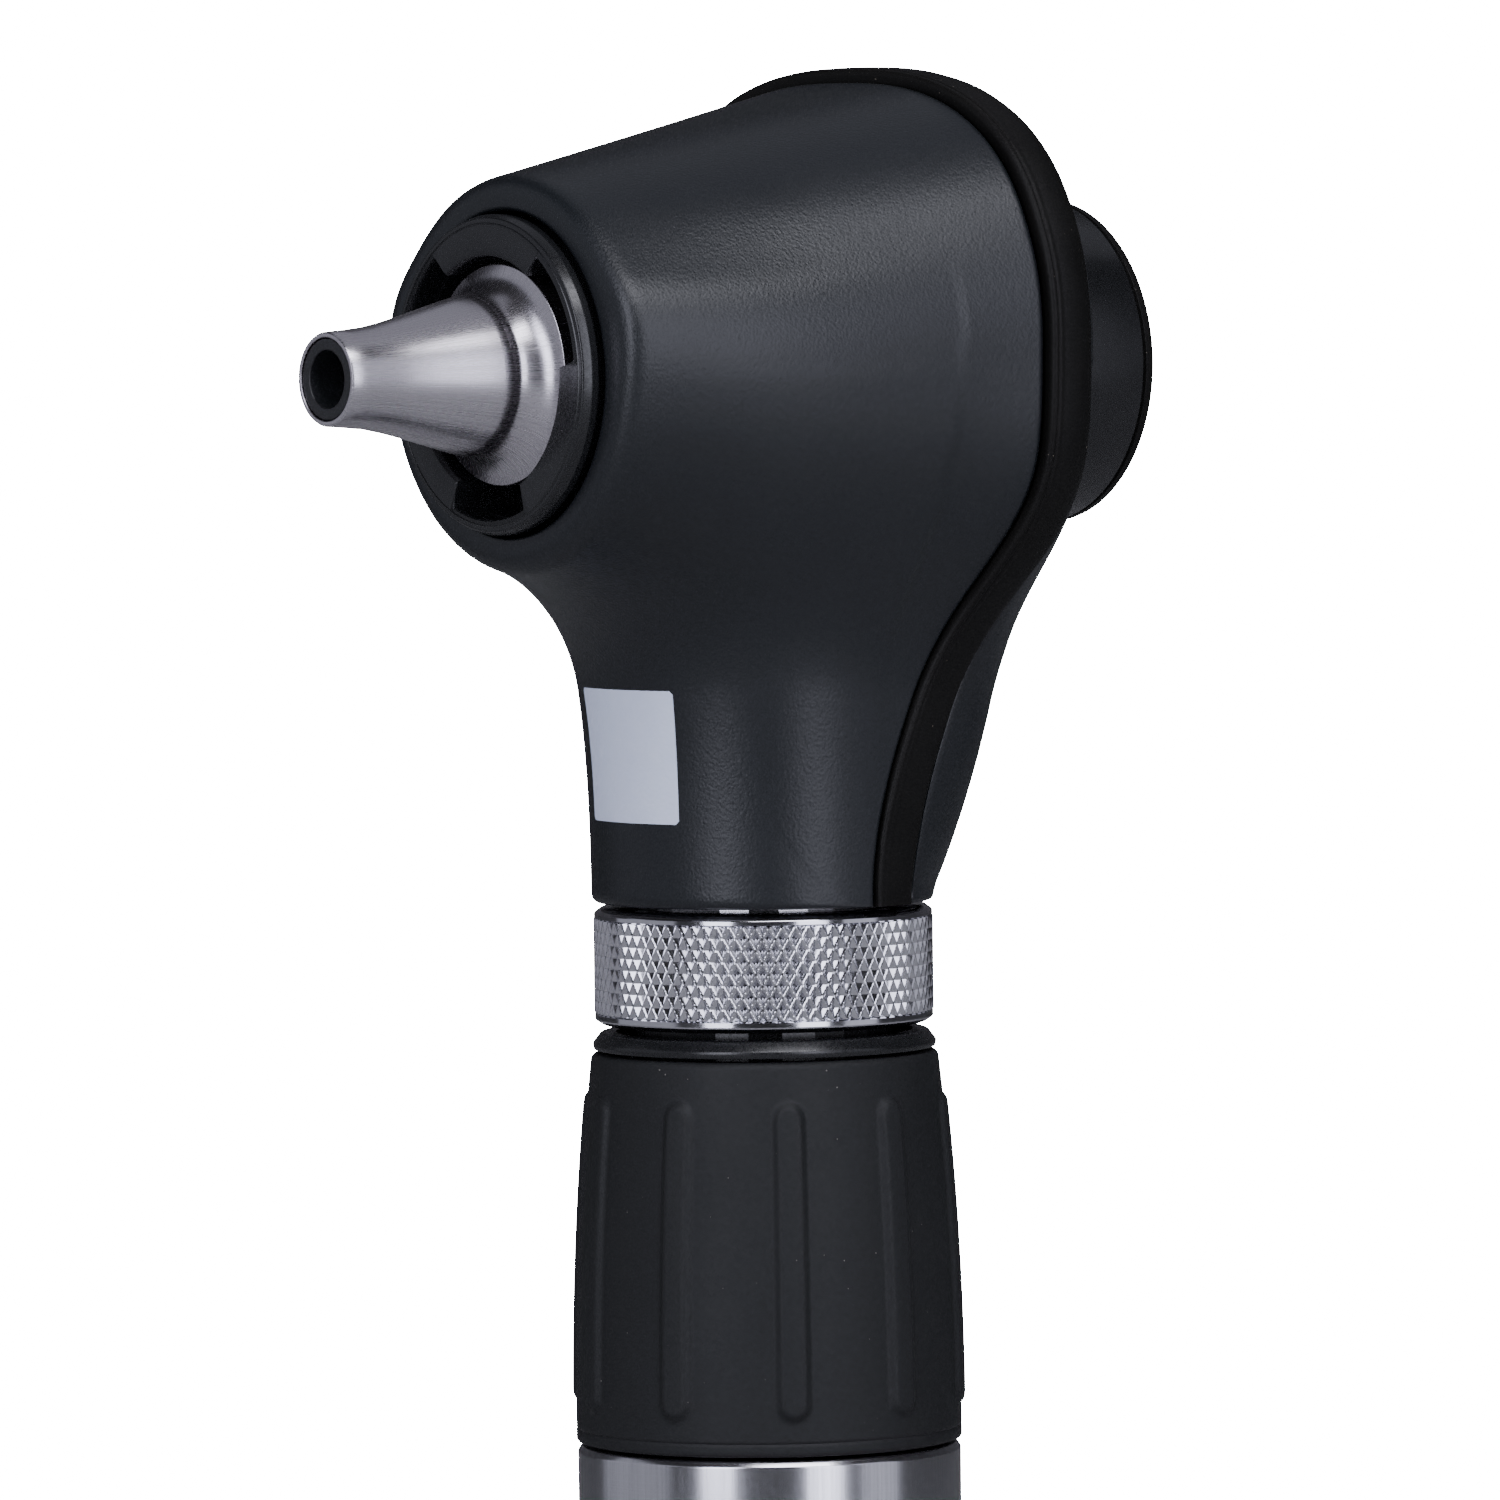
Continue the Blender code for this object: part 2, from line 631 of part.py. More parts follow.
def make_port():
    """The hose port for air puffs, on the side of the head away from the user's left hand."""
    profile = [(2.0, 22.6), (2.6, 21.8), (2.6, 14.0), (1.3, 14.0), (1.3, 22.6)]
    turned("insufflation_port", profile, steps=16, at=(0, PORT_Y, PORT_Z), turn=SIDEWAYS,
           material="gloss_plastic")


def make_lamp():
    """The lamp with its holder and its lower contact, standing in the neck of the head."""
    holder = [(8.0, 176.0), (8.0, 162.4), (11.4, 162.4), (11.4, 160.6), (4.7, 160.6), (4.7, 176.0)]
    turned("lamp_holder", holder, steps=20, material="heat_sink")
    disc("lamp_contact", 3.2, 158.0, 160.0, steps=16, material="contact_brass")
    ring("lamp_insulator", 11.4, 3.5, 158.3, 160.3, steps=16, material="insulator")
    disc("lamp_base", 4.3, 160.4, 170.0, steps=16, material="contact_brass")
    bulb = [(0.0, 177.2), (1.9, 176.7), (3.2, 175.0), (3.6, 172.6), (3.6, 170.3), (0.0, 170.3)]
    turned("lamp_bulb", bulb, steps=16, closed=False, material="lens_glass")


def make_socket():
    """The metal socket in the bottom of the head, with a groove for the handle's lugs."""
    profile = [(10.5, 158.0), (10.5, 151.2), (9.6, 151.2), (9.6, 152.4), (10.2, 152.4),
               (10.2, 155.8), (9.6, 155.8), (9.6, 158.0)]
    turned("head_socket", profile, steps=24, material="bright_steel")


# ---------------------------------------------------------------- pieces of the handle

def make_base_cap():
    """The screw cap at the foot of the handle and the spring that presses the battery up."""
    profile = [(0.0, 3.0), (12.4, 3.0), (12.4, 19.5), (13.9, 19.5), (13.9, CAP_TOP),
               (TUBE_R, CAP_TOP), (TUBE_R, 1.4), (TUBE_R - 0.4, 0.4), (TUBE_R - 1.4, 0.0),
               (0.0, 0.0)]
    turned("base_cap", profile, steps=36, closed=False, material="gloss_plastic")
    wire("cap_spring", helix(3.9, 21.2, 10.0, 6.0, 4), 0.5, "bright_steel")


def make_tube():
    """The metal handle tube, stepped in under the grip."""
    profile = [(TUBE_NECK_R, TUBE_TOP), (TUBE_NECK_R, TUBE_SHOULDER), (TUBE_R - 0.3, TUBE_SHOULDER),
               (TUBE_R, TUBE_SHOULDER - 0.3), (TUBE_R, CAP_TOP + GAP), (TUBE_BORE_R, CAP_TOP + GAP),
               (TUBE_BORE_R, 100.0), (TUBE_NECK_BORE_R, 101.5), (TUBE_NECK_BORE_R, TUBE_TOP)]
    turned("handle_tube", profile, steps=36, material="tube_nickel")


def make_grip():
    """The rubber grip with its long rounded ribs."""
    low = TUBE_SHOULDER + GAP
    profile = [(13.2, GRIP_TOP), (GRIP_TOP_R - 0.2, GRIP_TOP), (GRIP_TOP_R + 0.05, 136.0),
               (14.6, 128.0), (15.0, 120.0), (GRIP_BOTTOM_R, 112.0), (GRIP_BOTTOM_R, 108.2),
               (GRIP_BOTTOM_R - 0.2, low), (13.2, low)]
    grip = turned("grip_sleeve", profile, steps=36, material="grip_rubber")
    for index in range(RIB_COUNT):
        angle = 2.0 * math.pi * (index + 0.35) / RIB_COUNT
        combine(grip, grip_rib(f"grip_rib_{index}", angle), "UNION")


def grip_rib(name, angle):
    """One rib: a flat bar with bevelled long edges, leaning with the slope of the grip."""
    bar_low, bar_high = 110.0, 134.5
    lean = math.atan((GRIP_BOTTOM_R - GRIP_TOP_R - 0.2) / (bar_high - bar_low))
    bm = bmesh.new()
    bmesh.ops.create_cube(bm, size=1.0)
    length = (bar_high - bar_low) * MM
    bmesh.ops.transform(bm, matrix=Matrix.Diagonal((1.6 * MM, RIB_WIDTH * MM, length, 1.0)),
                        verts=bm.verts)
    outer = [edge for edge in bm.edges if all(vert.co.x > 0.0 for vert in edge.verts)]
    bmesh.ops.bevel(bm, geom=outer, offset=RIB_HEIGHT * 0.8 * MM, segments=1, affect="EDGES")
    middle_r = 0.5 * (GRIP_BOTTOM_R + GRIP_TOP_R) + 0.25 + RIB_HEIGHT - 0.8
    place = (Matrix.Rotation(angle, 4, "Z")
             @ Matrix.Translation((middle_r * MM, 0.0, 0.5 * (bar_low + bar_high) * MM))
             @ Matrix.Rotation(-lean, 4, "Y"))
    bmesh.ops.transform(bm, matrix=place, verts=bm.verts)
    mesh = bpy.data.meshes.new(name)
    bm.to_mesh(mesh)
    bm.free()
    return add_object(name, mesh)


def make_neck():
    """The flange over the grip, the neck that carries the ring, and the bayonet stud on top."""
    flange = [(13.4, FLANGE_TOP), (13.9, FLANGE_TOP - 0.5), (13.9, GRIP_TOP + GAP),
              (NECK_R + GAP, GRIP_TOP + GAP), (NECK_R + GAP, FLANGE_TOP)]
    turned("grip_flange", flange, steps=32, material="gloss_plastic")
    neck = [(NECK_R, 148.0), (NECK_R, 137.0), (11.6, 137.0), (11.6, 126.0), (6.3, 126.0),
            (6.3, 148.0)]
    turned("handle_neck", neck, steps=24, material="gloss_plastic")
    ring("bayonet_stud", STUD_R, 6.3, 148.3, 157.0, steps=24, material="bright_steel")
    stud = PARTS.objects["bayonet_stud"]
    for index in range(3):
        lug = box(f"stud_lug_{index}", (8.0, -1.6, 153.0), (9.95, 1.6, 155.2),
                  turn_z=math.radians(120.0 * index + 90.0))
        combine(stud, lug, "UNION")


def make_knurled_ring():
    """The knurled brightness ring and the lock button in its rear side."""
    profile = [(13.1, RING_TOP), (RING_R, RING_TOP - 0.8), (RING_R, RING_BOTTOM + 1.2),
               (13.4, RING_BOTTOM), (11.0, RING_BOTTOM), (11.0, 148.4), (9.6, 148.4),
               (9.6, RING_TOP)]
    knurled = turned("knurled_ring", profile, steps=36, material="ring_chrome")
    hole = disc("button_hole", BUTTON_R + GAP, -16.0, -9.0, steps=16, at=(0, 0, BUTTON_Z),
                turn=FORWARD)
    combine(knurled, hole, "DIFFERENCE")
    profile = [(0.0, -11.7), (BUTTON_R, -11.7), (BUTTON_R, -BUTTON_OUT + 0.3),
               (BUTTON_R - 0.3, -BUTTON_OUT), (0.0, -BUTTON_OUT)]
    turned("lock_button", profile, steps=16, closed=False, at=(0, 0, BUTTON_Z), turn=FORWARD,
           material="button_green")


def make_contacts():
    """The sprung centre contact of the handle, in its insulating sleeve."""
    sleeve = [(6.0, 156.2), (6.0, 138.0), (2.8, 138.0), (2.8, 152.0), (1.9, 152.0), (1.9, 156.2)]
    turned("pin_insulator", sleeve, steps=16, material="insulator")
    pin = [(0.0, PIN_TOP), (1.2, PIN_TOP), (1.6, PIN_TOP - 0.5), (1.6, 151.4), (2.4, 151.4),
           (2.4, 149.2), (0.0, 149.2)]
    turned("contact_pin", pin, steps=16, closed=False, material="contact_brass")
    wire("pin_spring", helix(138.4, 148.6, 2.0, 2.0, 6, 8), 0.22, "bright_steel", 0)


def make_power():
    """The rechargeable cell, the contact on top of it and the dimmer board under the neck."""
    cell = [(0.0, 92.0), (12.6, 92.0), (13.2, 91.4), (13.2, 23.2), (12.6, 22.6), (0.0, 22.6)]
    turned("battery", cell, steps=24, closed=False, material="battery_wrap")
    disc("battery_contact", 4.5, 92.4, 93.8, steps=16, material="contact_brass")
    wire("feed_spring", helix(94.7, 121.2, 4.0, 4.0, 6, 8), 0.4, "bright_steel", 0)
    disc("dimmer_board", 11.4, 122.0, 123.8, steps=20, material="insulator")


def build():
    """Make every piece of the otoscope."""
    make_front_shell()
    make_bumper()
    make_rear_cover()
    make_rear_panel()
    make_cone()
    make_collar()
    make_light_guide()
    make_front_plate()
    make_optics()
    make_focus_carriage()
    make_eyepiece()
    make_port()
    make_lamp()
    make_socket()
    make_base_cap()
    make_tube()
    make_grip()
    make_neck()
    make_knurled_ring()
    make_contacts()
    make_power()


build()
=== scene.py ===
"""The looks of the otoscope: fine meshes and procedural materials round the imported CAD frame.

Lengths are in millimetres and in the frame's axes: +Z up the handle, -Y along the cone towards the
patient, +Y back through the eyepiece. MM turns them into metres where a mesh or light is made.
"""

import json
import math

import bmesh
import bpy
import numpy as np
from mathutils import Matrix, Vector


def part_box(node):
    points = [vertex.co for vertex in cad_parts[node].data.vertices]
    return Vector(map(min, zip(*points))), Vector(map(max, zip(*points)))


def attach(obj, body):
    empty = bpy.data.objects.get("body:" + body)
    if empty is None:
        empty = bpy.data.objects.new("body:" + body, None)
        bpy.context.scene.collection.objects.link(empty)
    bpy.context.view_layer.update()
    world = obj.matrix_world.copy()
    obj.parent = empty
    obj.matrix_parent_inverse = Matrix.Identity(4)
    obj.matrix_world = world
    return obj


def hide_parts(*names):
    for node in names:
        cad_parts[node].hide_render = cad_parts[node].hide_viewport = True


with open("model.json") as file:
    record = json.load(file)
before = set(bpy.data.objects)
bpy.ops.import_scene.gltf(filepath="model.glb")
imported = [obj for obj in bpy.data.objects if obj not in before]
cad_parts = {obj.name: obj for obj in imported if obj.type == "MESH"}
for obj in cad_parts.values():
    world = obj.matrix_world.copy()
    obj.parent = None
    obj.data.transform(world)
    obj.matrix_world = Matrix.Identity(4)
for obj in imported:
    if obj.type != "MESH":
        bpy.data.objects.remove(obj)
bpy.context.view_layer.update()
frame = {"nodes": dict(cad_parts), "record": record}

MM = 0.001


def box_mm(node):
    """The lowest and highest corner of a CAD node, in millimetres."""
    low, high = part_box(node)
    return np.array(low) / MM, np.array(high) / MM


# ---------------------------------------------------------------- dimensions

COLLAR_LOW, COLLAR_HIGH = box_mm("tip_collar")
SHELL_LOW = box_mm("front_shell")[0]
CONE_LOW = box_mm("speculum_cone")[0]
RING_LOW, RING_HIGH = box_mm("knurled_ring")
GRIP_LOW, GRIP_HIGH = box_mm("grip_sleeve")
TUBE_LOW, TUBE_HIGH = box_mm("handle_tube")
FOCUS_LOW, FOCUS_HIGH = box_mm("focus_ring")
CUP_HIGH = box_mm("eyecup")[1]
HOUSING_LOW, HOUSING_HIGH = box_mm("eyepiece_housing")
PORT_LOW, PORT_HIGH = box_mm("insufflation_port")
CAP_HIGH = box_mm("base_cap")[1]
BUTTON_LOW, BUTTON_HIGH = box_mm("lock_button")

AXIS_Z = 0.5 * (COLLAR_LOW[2] + COLLAR_HIGH[2])
BUTTON_Z = 0.5 * (BUTTON_LOW[2] + BUTTON_HIGH[2])
BUTTON_R = BUTTON_HIGH[0]
BUTTON_GAP = 0.2             # clearance round the lock button
HEAD_BOTTOM = SHELL_LOW[2]

# Outer form of the head, as in the CAD model
BARREL_FRONT_Y = -25.3
BARREL_FRONT_R = 15.6
BARREL_FRONT_DOWN = 15.5
BARREL_WIDE_Y = 8.6
BARREL_HALF_WIDTH = 25.3
BARREL_UP = 22.85
BARREL_DOWN = 19.8
BARREL_GROWTH = 1.1          # the barrel stops growing at this share of its full section
BARREL_SQUARENESS = 2.6
FRONT_ROUND = 1.5
HEAD_NECK_R = 14.2
NECK_FLARE_Z = 151.3
NECK_SIDE_FLARE = 4.7
NECK_FRONT_Y = -13.65
NECK_FRONT_FLARE = 12.8
NECK_BACK_Y = 29.65
NECK_BACK_SQUARENESS = 4.1
NECK_FRONT_SQUARENESS = 2.15
UNION_ROUND = 10.0
BACK_Y = 17.0
BACK_SLOPE = 0.27
BACK_SLOPE_ROUND = 3.0
BACK_ROUND = 7.6
HEAD_CENTRE = np.array((0.0, -1.0, AXIS_Z))
WALL = 2.0
HALVINGS = 20
HEAD_REACH = 70.0            # farther from the centre than any point of the head

PARTING_NECK_Y = 0.43
PARTING_HEAD_Y = 9.2
PARTING_LOW_Z = 151.3
PARTING_HIGH_Z = 186.7
BUMPER_WIDTH = 4.2
BUMPER_RAISE_NECK = 0.25
BUMPER_RAISE_HEAD = 0.93
PANEL_TOP_BEARING = math.radians(62.0)
PANEL_STEP = 0.8
SEAM = 0.2                   # visible gap between neighbouring casings
SHELL_BORE_R = 13.0

# Blank printed panel on the neck
LABEL_MIDDLE_Z = 162.55
LABEL_HALF_HEIGHT = 5.35
LABEL_HALF_TURN = math.radians(23.6)
LABEL_CORNER = 0.05          # corner size as a share of the panel's half height

# Cone, collar and fibre ring, as distances forward of the handle's axis
TIP_FRONT = -CONE_LOW[1]
TIP_R = 3.75
TIP_BORE_R = 2.3
CONE_SHOULDER = 29.2
CONE_SHOULDER_R = 6.4
CONE_FLANGE_R = 8.8
COLLAR_FRONT = -COLLAR_LOW[1]
COLLAR_BACK = -COLLAR_HIGH[1]
COLLAR_R = COLLAR_HIGH[0]
COLLAR_BORE_R = 9.45
NOTCH_R = 11.5
NOTCH_ANGLES = (30.0, 150.0, 270.0)
NOTCH_WIDTH = 50.0

# Grip, ring, tube and cap
TUBE_SHOULDER = 106.5
CAP_RIM_Z = 14.0
GRIP_TOP_R = 14.0
GRIP_WIDE_R = 15.6
RIB_COUNT = 10
RIB_RAISE = 0.45
RIB_HALF_WIDTH = 1.3
RIB_PHASE = math.radians(5.5)
KNURL_COUNT = 80
KNURL_ROWS = 4
KNURL_DEPTH = 0.38
KNURL_LAND = 0.1             # the flat top of a ridge, as a share of half a diamond
KNURL_FINENESS = (12, 16)    # mesh columns and rows over one diamond
BELT_LOW = 1.0               # plain bands below and above the knurled belt
BELT_HIGH = 0.95

# Camera and light
CAMERA_AZIMUTH = math.radians(52.2)
CAMERA_ELEVATION = math.radians(2.87)
CAMERA_ROLL = math.radians(0.7)
CAMERA_DISTANCE = 968.4
CAMERA_LENS = 288.0
CAMERA_TARGET = (0.0, 0.0, 162.5)
CAMERA_ASIDE = -0.89         # how far the aim lies to the right of the handle's axis
PAPER_GLOW = 40.0            # how brightly the paper shows to the camera
PAPER_DIM = 0.42             # how much light it throws back onto the object

# Paper bowl under and round the object, in metres
STAGE_FLAT = 1.9             # radius of the flat floor
STAGE_CURVE = 0.9            # radius of the bend up to the wall
STAGE_TOP = 3.2

FORWARD = Matrix.Translation((0.0, 0.0, AXIS_Z)) @ Matrix.Rotation(math.radians(90.0), 4, "X")
UPRIGHT = Matrix.Identity(4)
BACKWARD = Matrix.Rotation(math.radians(-90.0), 4, "X")
BUTTON_PLACE = Matrix.Translation((0.0, 0.0, BUTTON_Z)) @ BACKWARD


# ---------------------------------------------------------------- shader nodes

class Shader:
    """A Principled material and short names for the nodes that feed it."""

    def __init__(self, name, colour, roughness, metallic=0.0, **constants):
        self.material = bpy.data.materials.new(name)
        self.material.use_nodes = True
        self.tree = self.material.node_tree
        self.surface = self.tree.nodes["Principled BSDF"]
        values = {"Base Color": (*colour, 1.0), "Roughness": roughness, "Metallic": metallic}
        for socket, value in {**values, **constants}.items():
            self.surface.inputs[socket].default_value = value
        self.position = self.tree.nodes.new("ShaderNodeTexCoord").outputs["Object"]

    def node(self, kind, inputs, **settings):
        """Add a node; an input is a number, a colour or another node's output."""
        made = self.tree.nodes.new("ShaderNode" + kind)
        for key, value in settings.items():
            setattr(made, key, value)
        for key, value in inputs.items():
            if isinstance(value, bpy.types.NodeSocket):
                self.tree.links.new(value, made.inputs[key])
            else:
                made.inputs[key].default_value = value
        return made

    def scaled(self, vector, scale):
        inputs = {"Vector": vector, "Scale": scale}
        return self.node("Mapping", inputs).outputs["Vector"]

    def noise(self, vector, scale, detail=3.0, roughness=0.55):
        inputs = {"Vector": vector, "Scale": scale, "Detail": detail, "Roughness": roughness}
        return self.node("TexNoise", inputs).outputs["Fac"]

    def cells(self, vector, scale, feature="F1", randomness=1.0):
        inputs = {"Vector": vector, "Scale": scale, "Randomness": randomness}
        return self.node("TexVoronoi", inputs, feature=feature).outputs["Distance"]

    def math(self, operation, first, second=0.0, third=0.0):
        inputs = {0: first, 1: second, 2: third}
        return self.node("Math", inputs, operation=operation).outputs[0]

    def spread(self, value, low, high, to_low=0.0, to_high=1.0):
        """Stretch a value's range between two limits onto another range."""
        inputs = {"Value": value, "From Min": low, "From Max": high,
                  "To Min": to_low, "To Max": to_high}
        return self.node("MapRange", inputs).outputs["Result"]

    def blend(self, share, first, second):
        """Mix two colours by a share."""
        made = self.node("Mix", {"Factor": share}, data_type="RGBA")
        for index, colour in ((6, first), (7, second)):
            if isinstance(colour, bpy.types.NodeSocket):
                self.tree.links.new(colour, made.inputs[index])
            else:
                made.inputs[index].default_value = (*colour, 1.0)
        return made.outputs[2]

    def bump(self, height, depth, below=None, strength=1.0):
        inputs = {"Height": height, "Distance": depth * MM, "Strength": strength}
        if below:
            inputs["Normal"] = below
        return self.node("Bump", inputs).outputs["Normal"]

    def around(self, centre_z=None):
        """The direction from a turned piece's axis with the distance along it, both seamless.

        The axis is the optical one where centre_z is given, and the handle's where it isn't.
        """
        split = self.node("SeparateXYZ", {"Vector": self.position})
        across = split.outputs["X"]
        if centre_z is None:
            side, along = split.outputs["Y"], split.outputs["Z"]
        else:
            side = self.math("SUBTRACT", split.outputs["Z"], centre_z * MM)
            along = split.outputs["Y"]
        flat = self.node("CombineXYZ", {"X": across, "Y": side, "Z": 0.0}).outputs[0]
        direction = self.node("VectorMath", {0: flat}, operation="NORMALIZE").outputs[0]
        return direction, along

    def use(self, **links):
        """Feed sockets of the surface: colour, roughness, normal."""
        names = {"colour": "Base Color", "roughness": "Roughness", "normal": "Normal",
                 "coat_normal": "Coat Normal"}
        for key, output in links.items():
            self.tree.links.new(output, self.surface.inputs[names[key]])
        return self.material


def dust(shader, colour, speck_colour, size=0.9, amount=0.035):
    """Sparse pale specks over a dark colour, as settle on black rubber."""
    near = shader.cells(shader.position, 1.0 / (size * MM))
    patches = shader.noise(shader.position, 180.0, detail=2.0)
    limit = shader.spread(patches, 0.45, 0.75, 0.0, amount * 2.0)
    speck = shader.math("LESS_THAN", near, limit)
    return shader.blend(shader.math("MULTIPLY", speck, 0.75), colour, speck_colour)


# ---------------------------------------------------------------- materials

def shell_plastic():
    """Moulded near-black plastic with a fine leather grain."""
    shader = Shader("shell_plastic_fine", (0.008, 0.010, 0.012), 0.37)
    grain = shader.cells(shader.position, 4200.0, feature="SMOOTH_F1")
    pits = shader.noise(shader.position, 6500.0, detail=2.0)
    height = shader.math("ADD", grain, shader.math("MULTIPLY", pits, 0.7))
    broad = shader.noise(shader.position, 60.0, detail=4.0)
    colour = shader.blend(broad, (0.0060, 0.0078, 0.0096), (0.0095, 0.0115, 0.0138))
    colour = dust(shader, colour, (0.10, 0.10, 0.10), 1.7, 0.012)
    rough = shader.spread(broad, 0.3, 0.7, 0.34, 0.41)
    return shader.use(colour=colour, roughness=rough, normal=shader.bump(height, 0.018))


def bumper_rubber():
    """Matte near-black rubber, a little warm, with dust in its pores."""
    shader = Shader("bumper_rubber_fine", (0.005, 0.005, 0.004), 0.5,
                    **{"Specular IOR Level": 0.16})
    pores = shader.noise(shader.position, 4200.0, detail=4.0, roughness=0.7)
    broad = shader.noise(shader.position, 130.0, detail=4.0)
    colour = shader.blend(broad, (0.0035, 0.0033, 0.0030), (0.0070, 0.0066, 0.0060))
    colour = dust(shader, colour, (0.16, 0.14, 0.11), 0.8, 0.06)
    rough = shader.spread(broad, 0.3, 0.7, 0.42, 0.56)
    return shader.use(colour=colour, roughness=rough, normal=shader.bump(pores, 0.03))


def grip_rubber():
    """Matte near-black rubber of the grip, faintly mottled, with lint on it."""
    shader = Shader("grip_rubber_fine", (0.012, 0.0125, 0.013), 0.6,
                    **{"Specular IOR Level": 0.28})
    pores = shader.noise(shader.position, 2600.0, detail=5.0, roughness=0.7)
    broad = shader.noise(shader.position, 90.0, detail=5.0, roughness=0.6)
    colour = shader.blend(broad, (0.0095, 0.0102, 0.0108), (0.0150, 0.0158, 0.0165))
    colour = dust(shader, colour, (0.17, 0.165, 0.15), 0.9, 0.05)
    rough = shader.spread(broad, 0.3, 0.7, 0.50, 0.64)
    return shader.use(colour=colour, roughness=rough, normal=shader.bump(pores, 0.03))


def gloss_plastic():
    """Glossy near-black moulded plastic with a faint ripple."""
    shader = Shader("gloss_plastic_fine", (0.008, 0.0085, 0.009), 0.25)
    ripple = shader.noise(shader.position, 260.0, detail=2.0)
    fine = shader.noise(shader.position, 3300.0, detail=3.0)
    height = shader.math("ADD", ripple, shader.math("MULTIPLY", fine, 0.03))
    colour = shader.blend(ripple, (0.0065, 0.0070, 0.0078), (0.0105, 0.0110, 0.0118))
    rough = shader.spread(fine, 0.3, 0.7, 0.22, 0.34)
    return shader.use(colour=colour, roughness=rough, normal=shader.bump(height, 0.03))


def streaked_metal(name, colour, roughness, turned_about=None, along=0.0, round_marks=0.0,
                   depth=0.004):
    """Bright metal with fine marks along its axis, round its axis, or both."""
    shader = Shader(name, colour, roughness, metallic=1.0)
    direction, distance = shader.around(turned_about)
    stretched = shader.scaled(direction, (60.0, 60.0, 0.0))
    slow = shader.math("MULTIPLY", distance, 55.0)
    shifted = shader.node("CombineXYZ", {"Z": slow}).outputs[0]
    lengthwise = shader.node("VectorMath", {0: stretched, 1: shifted}, operation="ADD").outputs[0]
    streaks = shader.noise(lengthwise, 1.0, detail=5.0, roughness=0.65)
    level = shader.node("CombineXYZ", {"X": shader.math("MULTIPLY", distance, 9000.0)}).outputs[0]
    turning = shader.noise(level, 1.0, detail=3.0)
    marks = shader.math("ADD", shader.math("MULTIPLY", streaks, along),
                        shader.math("MULTIPLY", turning, round_marks))
    share = along + round_marks
    dark = tuple(value * 0.80 for value in colour)
    tone = shader.blend(shader.spread(marks, 0.3 * share, 0.7 * share), dark, colour)
    rough = shader.spread(marks, 0.3 * share, 0.7 * share, roughness * 1.25, roughness * 0.8)
    return shader.use(colour=tone, roughness=rough, normal=shader.bump(marks, depth))


def plain_metal(name, colour, roughness):
    """Plated or bare metal with faint cloudiness and tiny handling marks."""
    shader = Shader(name, colour, roughness, metallic=1.0)
    cloud = shader.noise(shader.position, 240.0, detail=5.0)
    fine = shader.noise(shader.position, 5000.0, detail=2.0)
    tone = shader.blend(shader.spread(cloud, 0.3, 0.7), tuple(v * 0.86 for v in colour), colour)
    rough = shader.spread(cloud, 0.3, 0.7, roughness * 0.8, roughness * 1.4)
    return shader.use(colour=tone, roughness=rough, normal=shader.bump(fine, 0.002))


def fibre_face():
    """Dark potting with the fine dots of polished glass fibres."""
    shader = Shader("fibre_fine", (0.016, 0.017, 0.018), 0.35)
    dots = shader.cells(shader.position, 9000.0)
    bright = shader.spread(dots, 0.15, 0.35, 1.0, 0.0)
    colour = shader.blend(shader.math("MULTIPLY", bright, 0.22), (0.008, 0.009, 0.010),
                          (0.20, 0.20, 0.22))
    return shader.use(colour=colour, normal=shader.bump(dots, 0.01))


def coated_glass():
    """Clear lens glass with a faint coating tint and a trace of smear."""
    shader = Shader("lens_glass_fine", (0.86, 0.90, 0.92), 0.03,
                    **{"Transmission Weight": 1.0, "IOR": 1.52})
    smear = shader.noise(shader.position, 190.0, detail=4.0)
    rough = shader.spread(smear, 0.4, 0.7, 0.02, 0.07)
    colour = shader.blend(smear, (0.80, 0.86, 0.92), (0.92, 0.95, 0.94))
    return shader.use(colour=colour, roughness=rough)


def moulded(name, colour, roughness=0.45):
    """Plain moulded plastic with a slight mottle and grain."""
    shader = Shader(name, colour, roughness)
    mottle = shader.noise(shader.position, 150.0, detail=4.0)
    fine = shader.noise(shader.position, 3000.0, detail=3.0)
    tone = shader.blend(mottle, tuple(v * 0.85 for v in colour), tuple(v * 1.08 for v in colour))
    rough = shader.spread(mottle, 0.3, 0.7, roughness * 0.9, roughness * 1.15)
    return shader.use(colour=tone, roughness=rough, normal=shader.bump(fine, 0.01))


def pale_print():
    """Thin pale ink, slightly uneven, on the plastic's grain."""
    shader = Shader("pale_print_fine", (0.76, 0.82, 1.0), 0.5, **{"Specular IOR Level": 0.2})
    grain = shader.cells(shader.position, 3100.0, feature="SMOOTH_F1")
    mottle = shader.noise(shader.position, 900.0, detail=3.0)
    colour = shader.blend(mottle, (0.73, 0.80, 0.98), (0.79, 0.85, 1.0))
    return shader.use(colour=colour, normal=shader.bump(grain, 0.02))


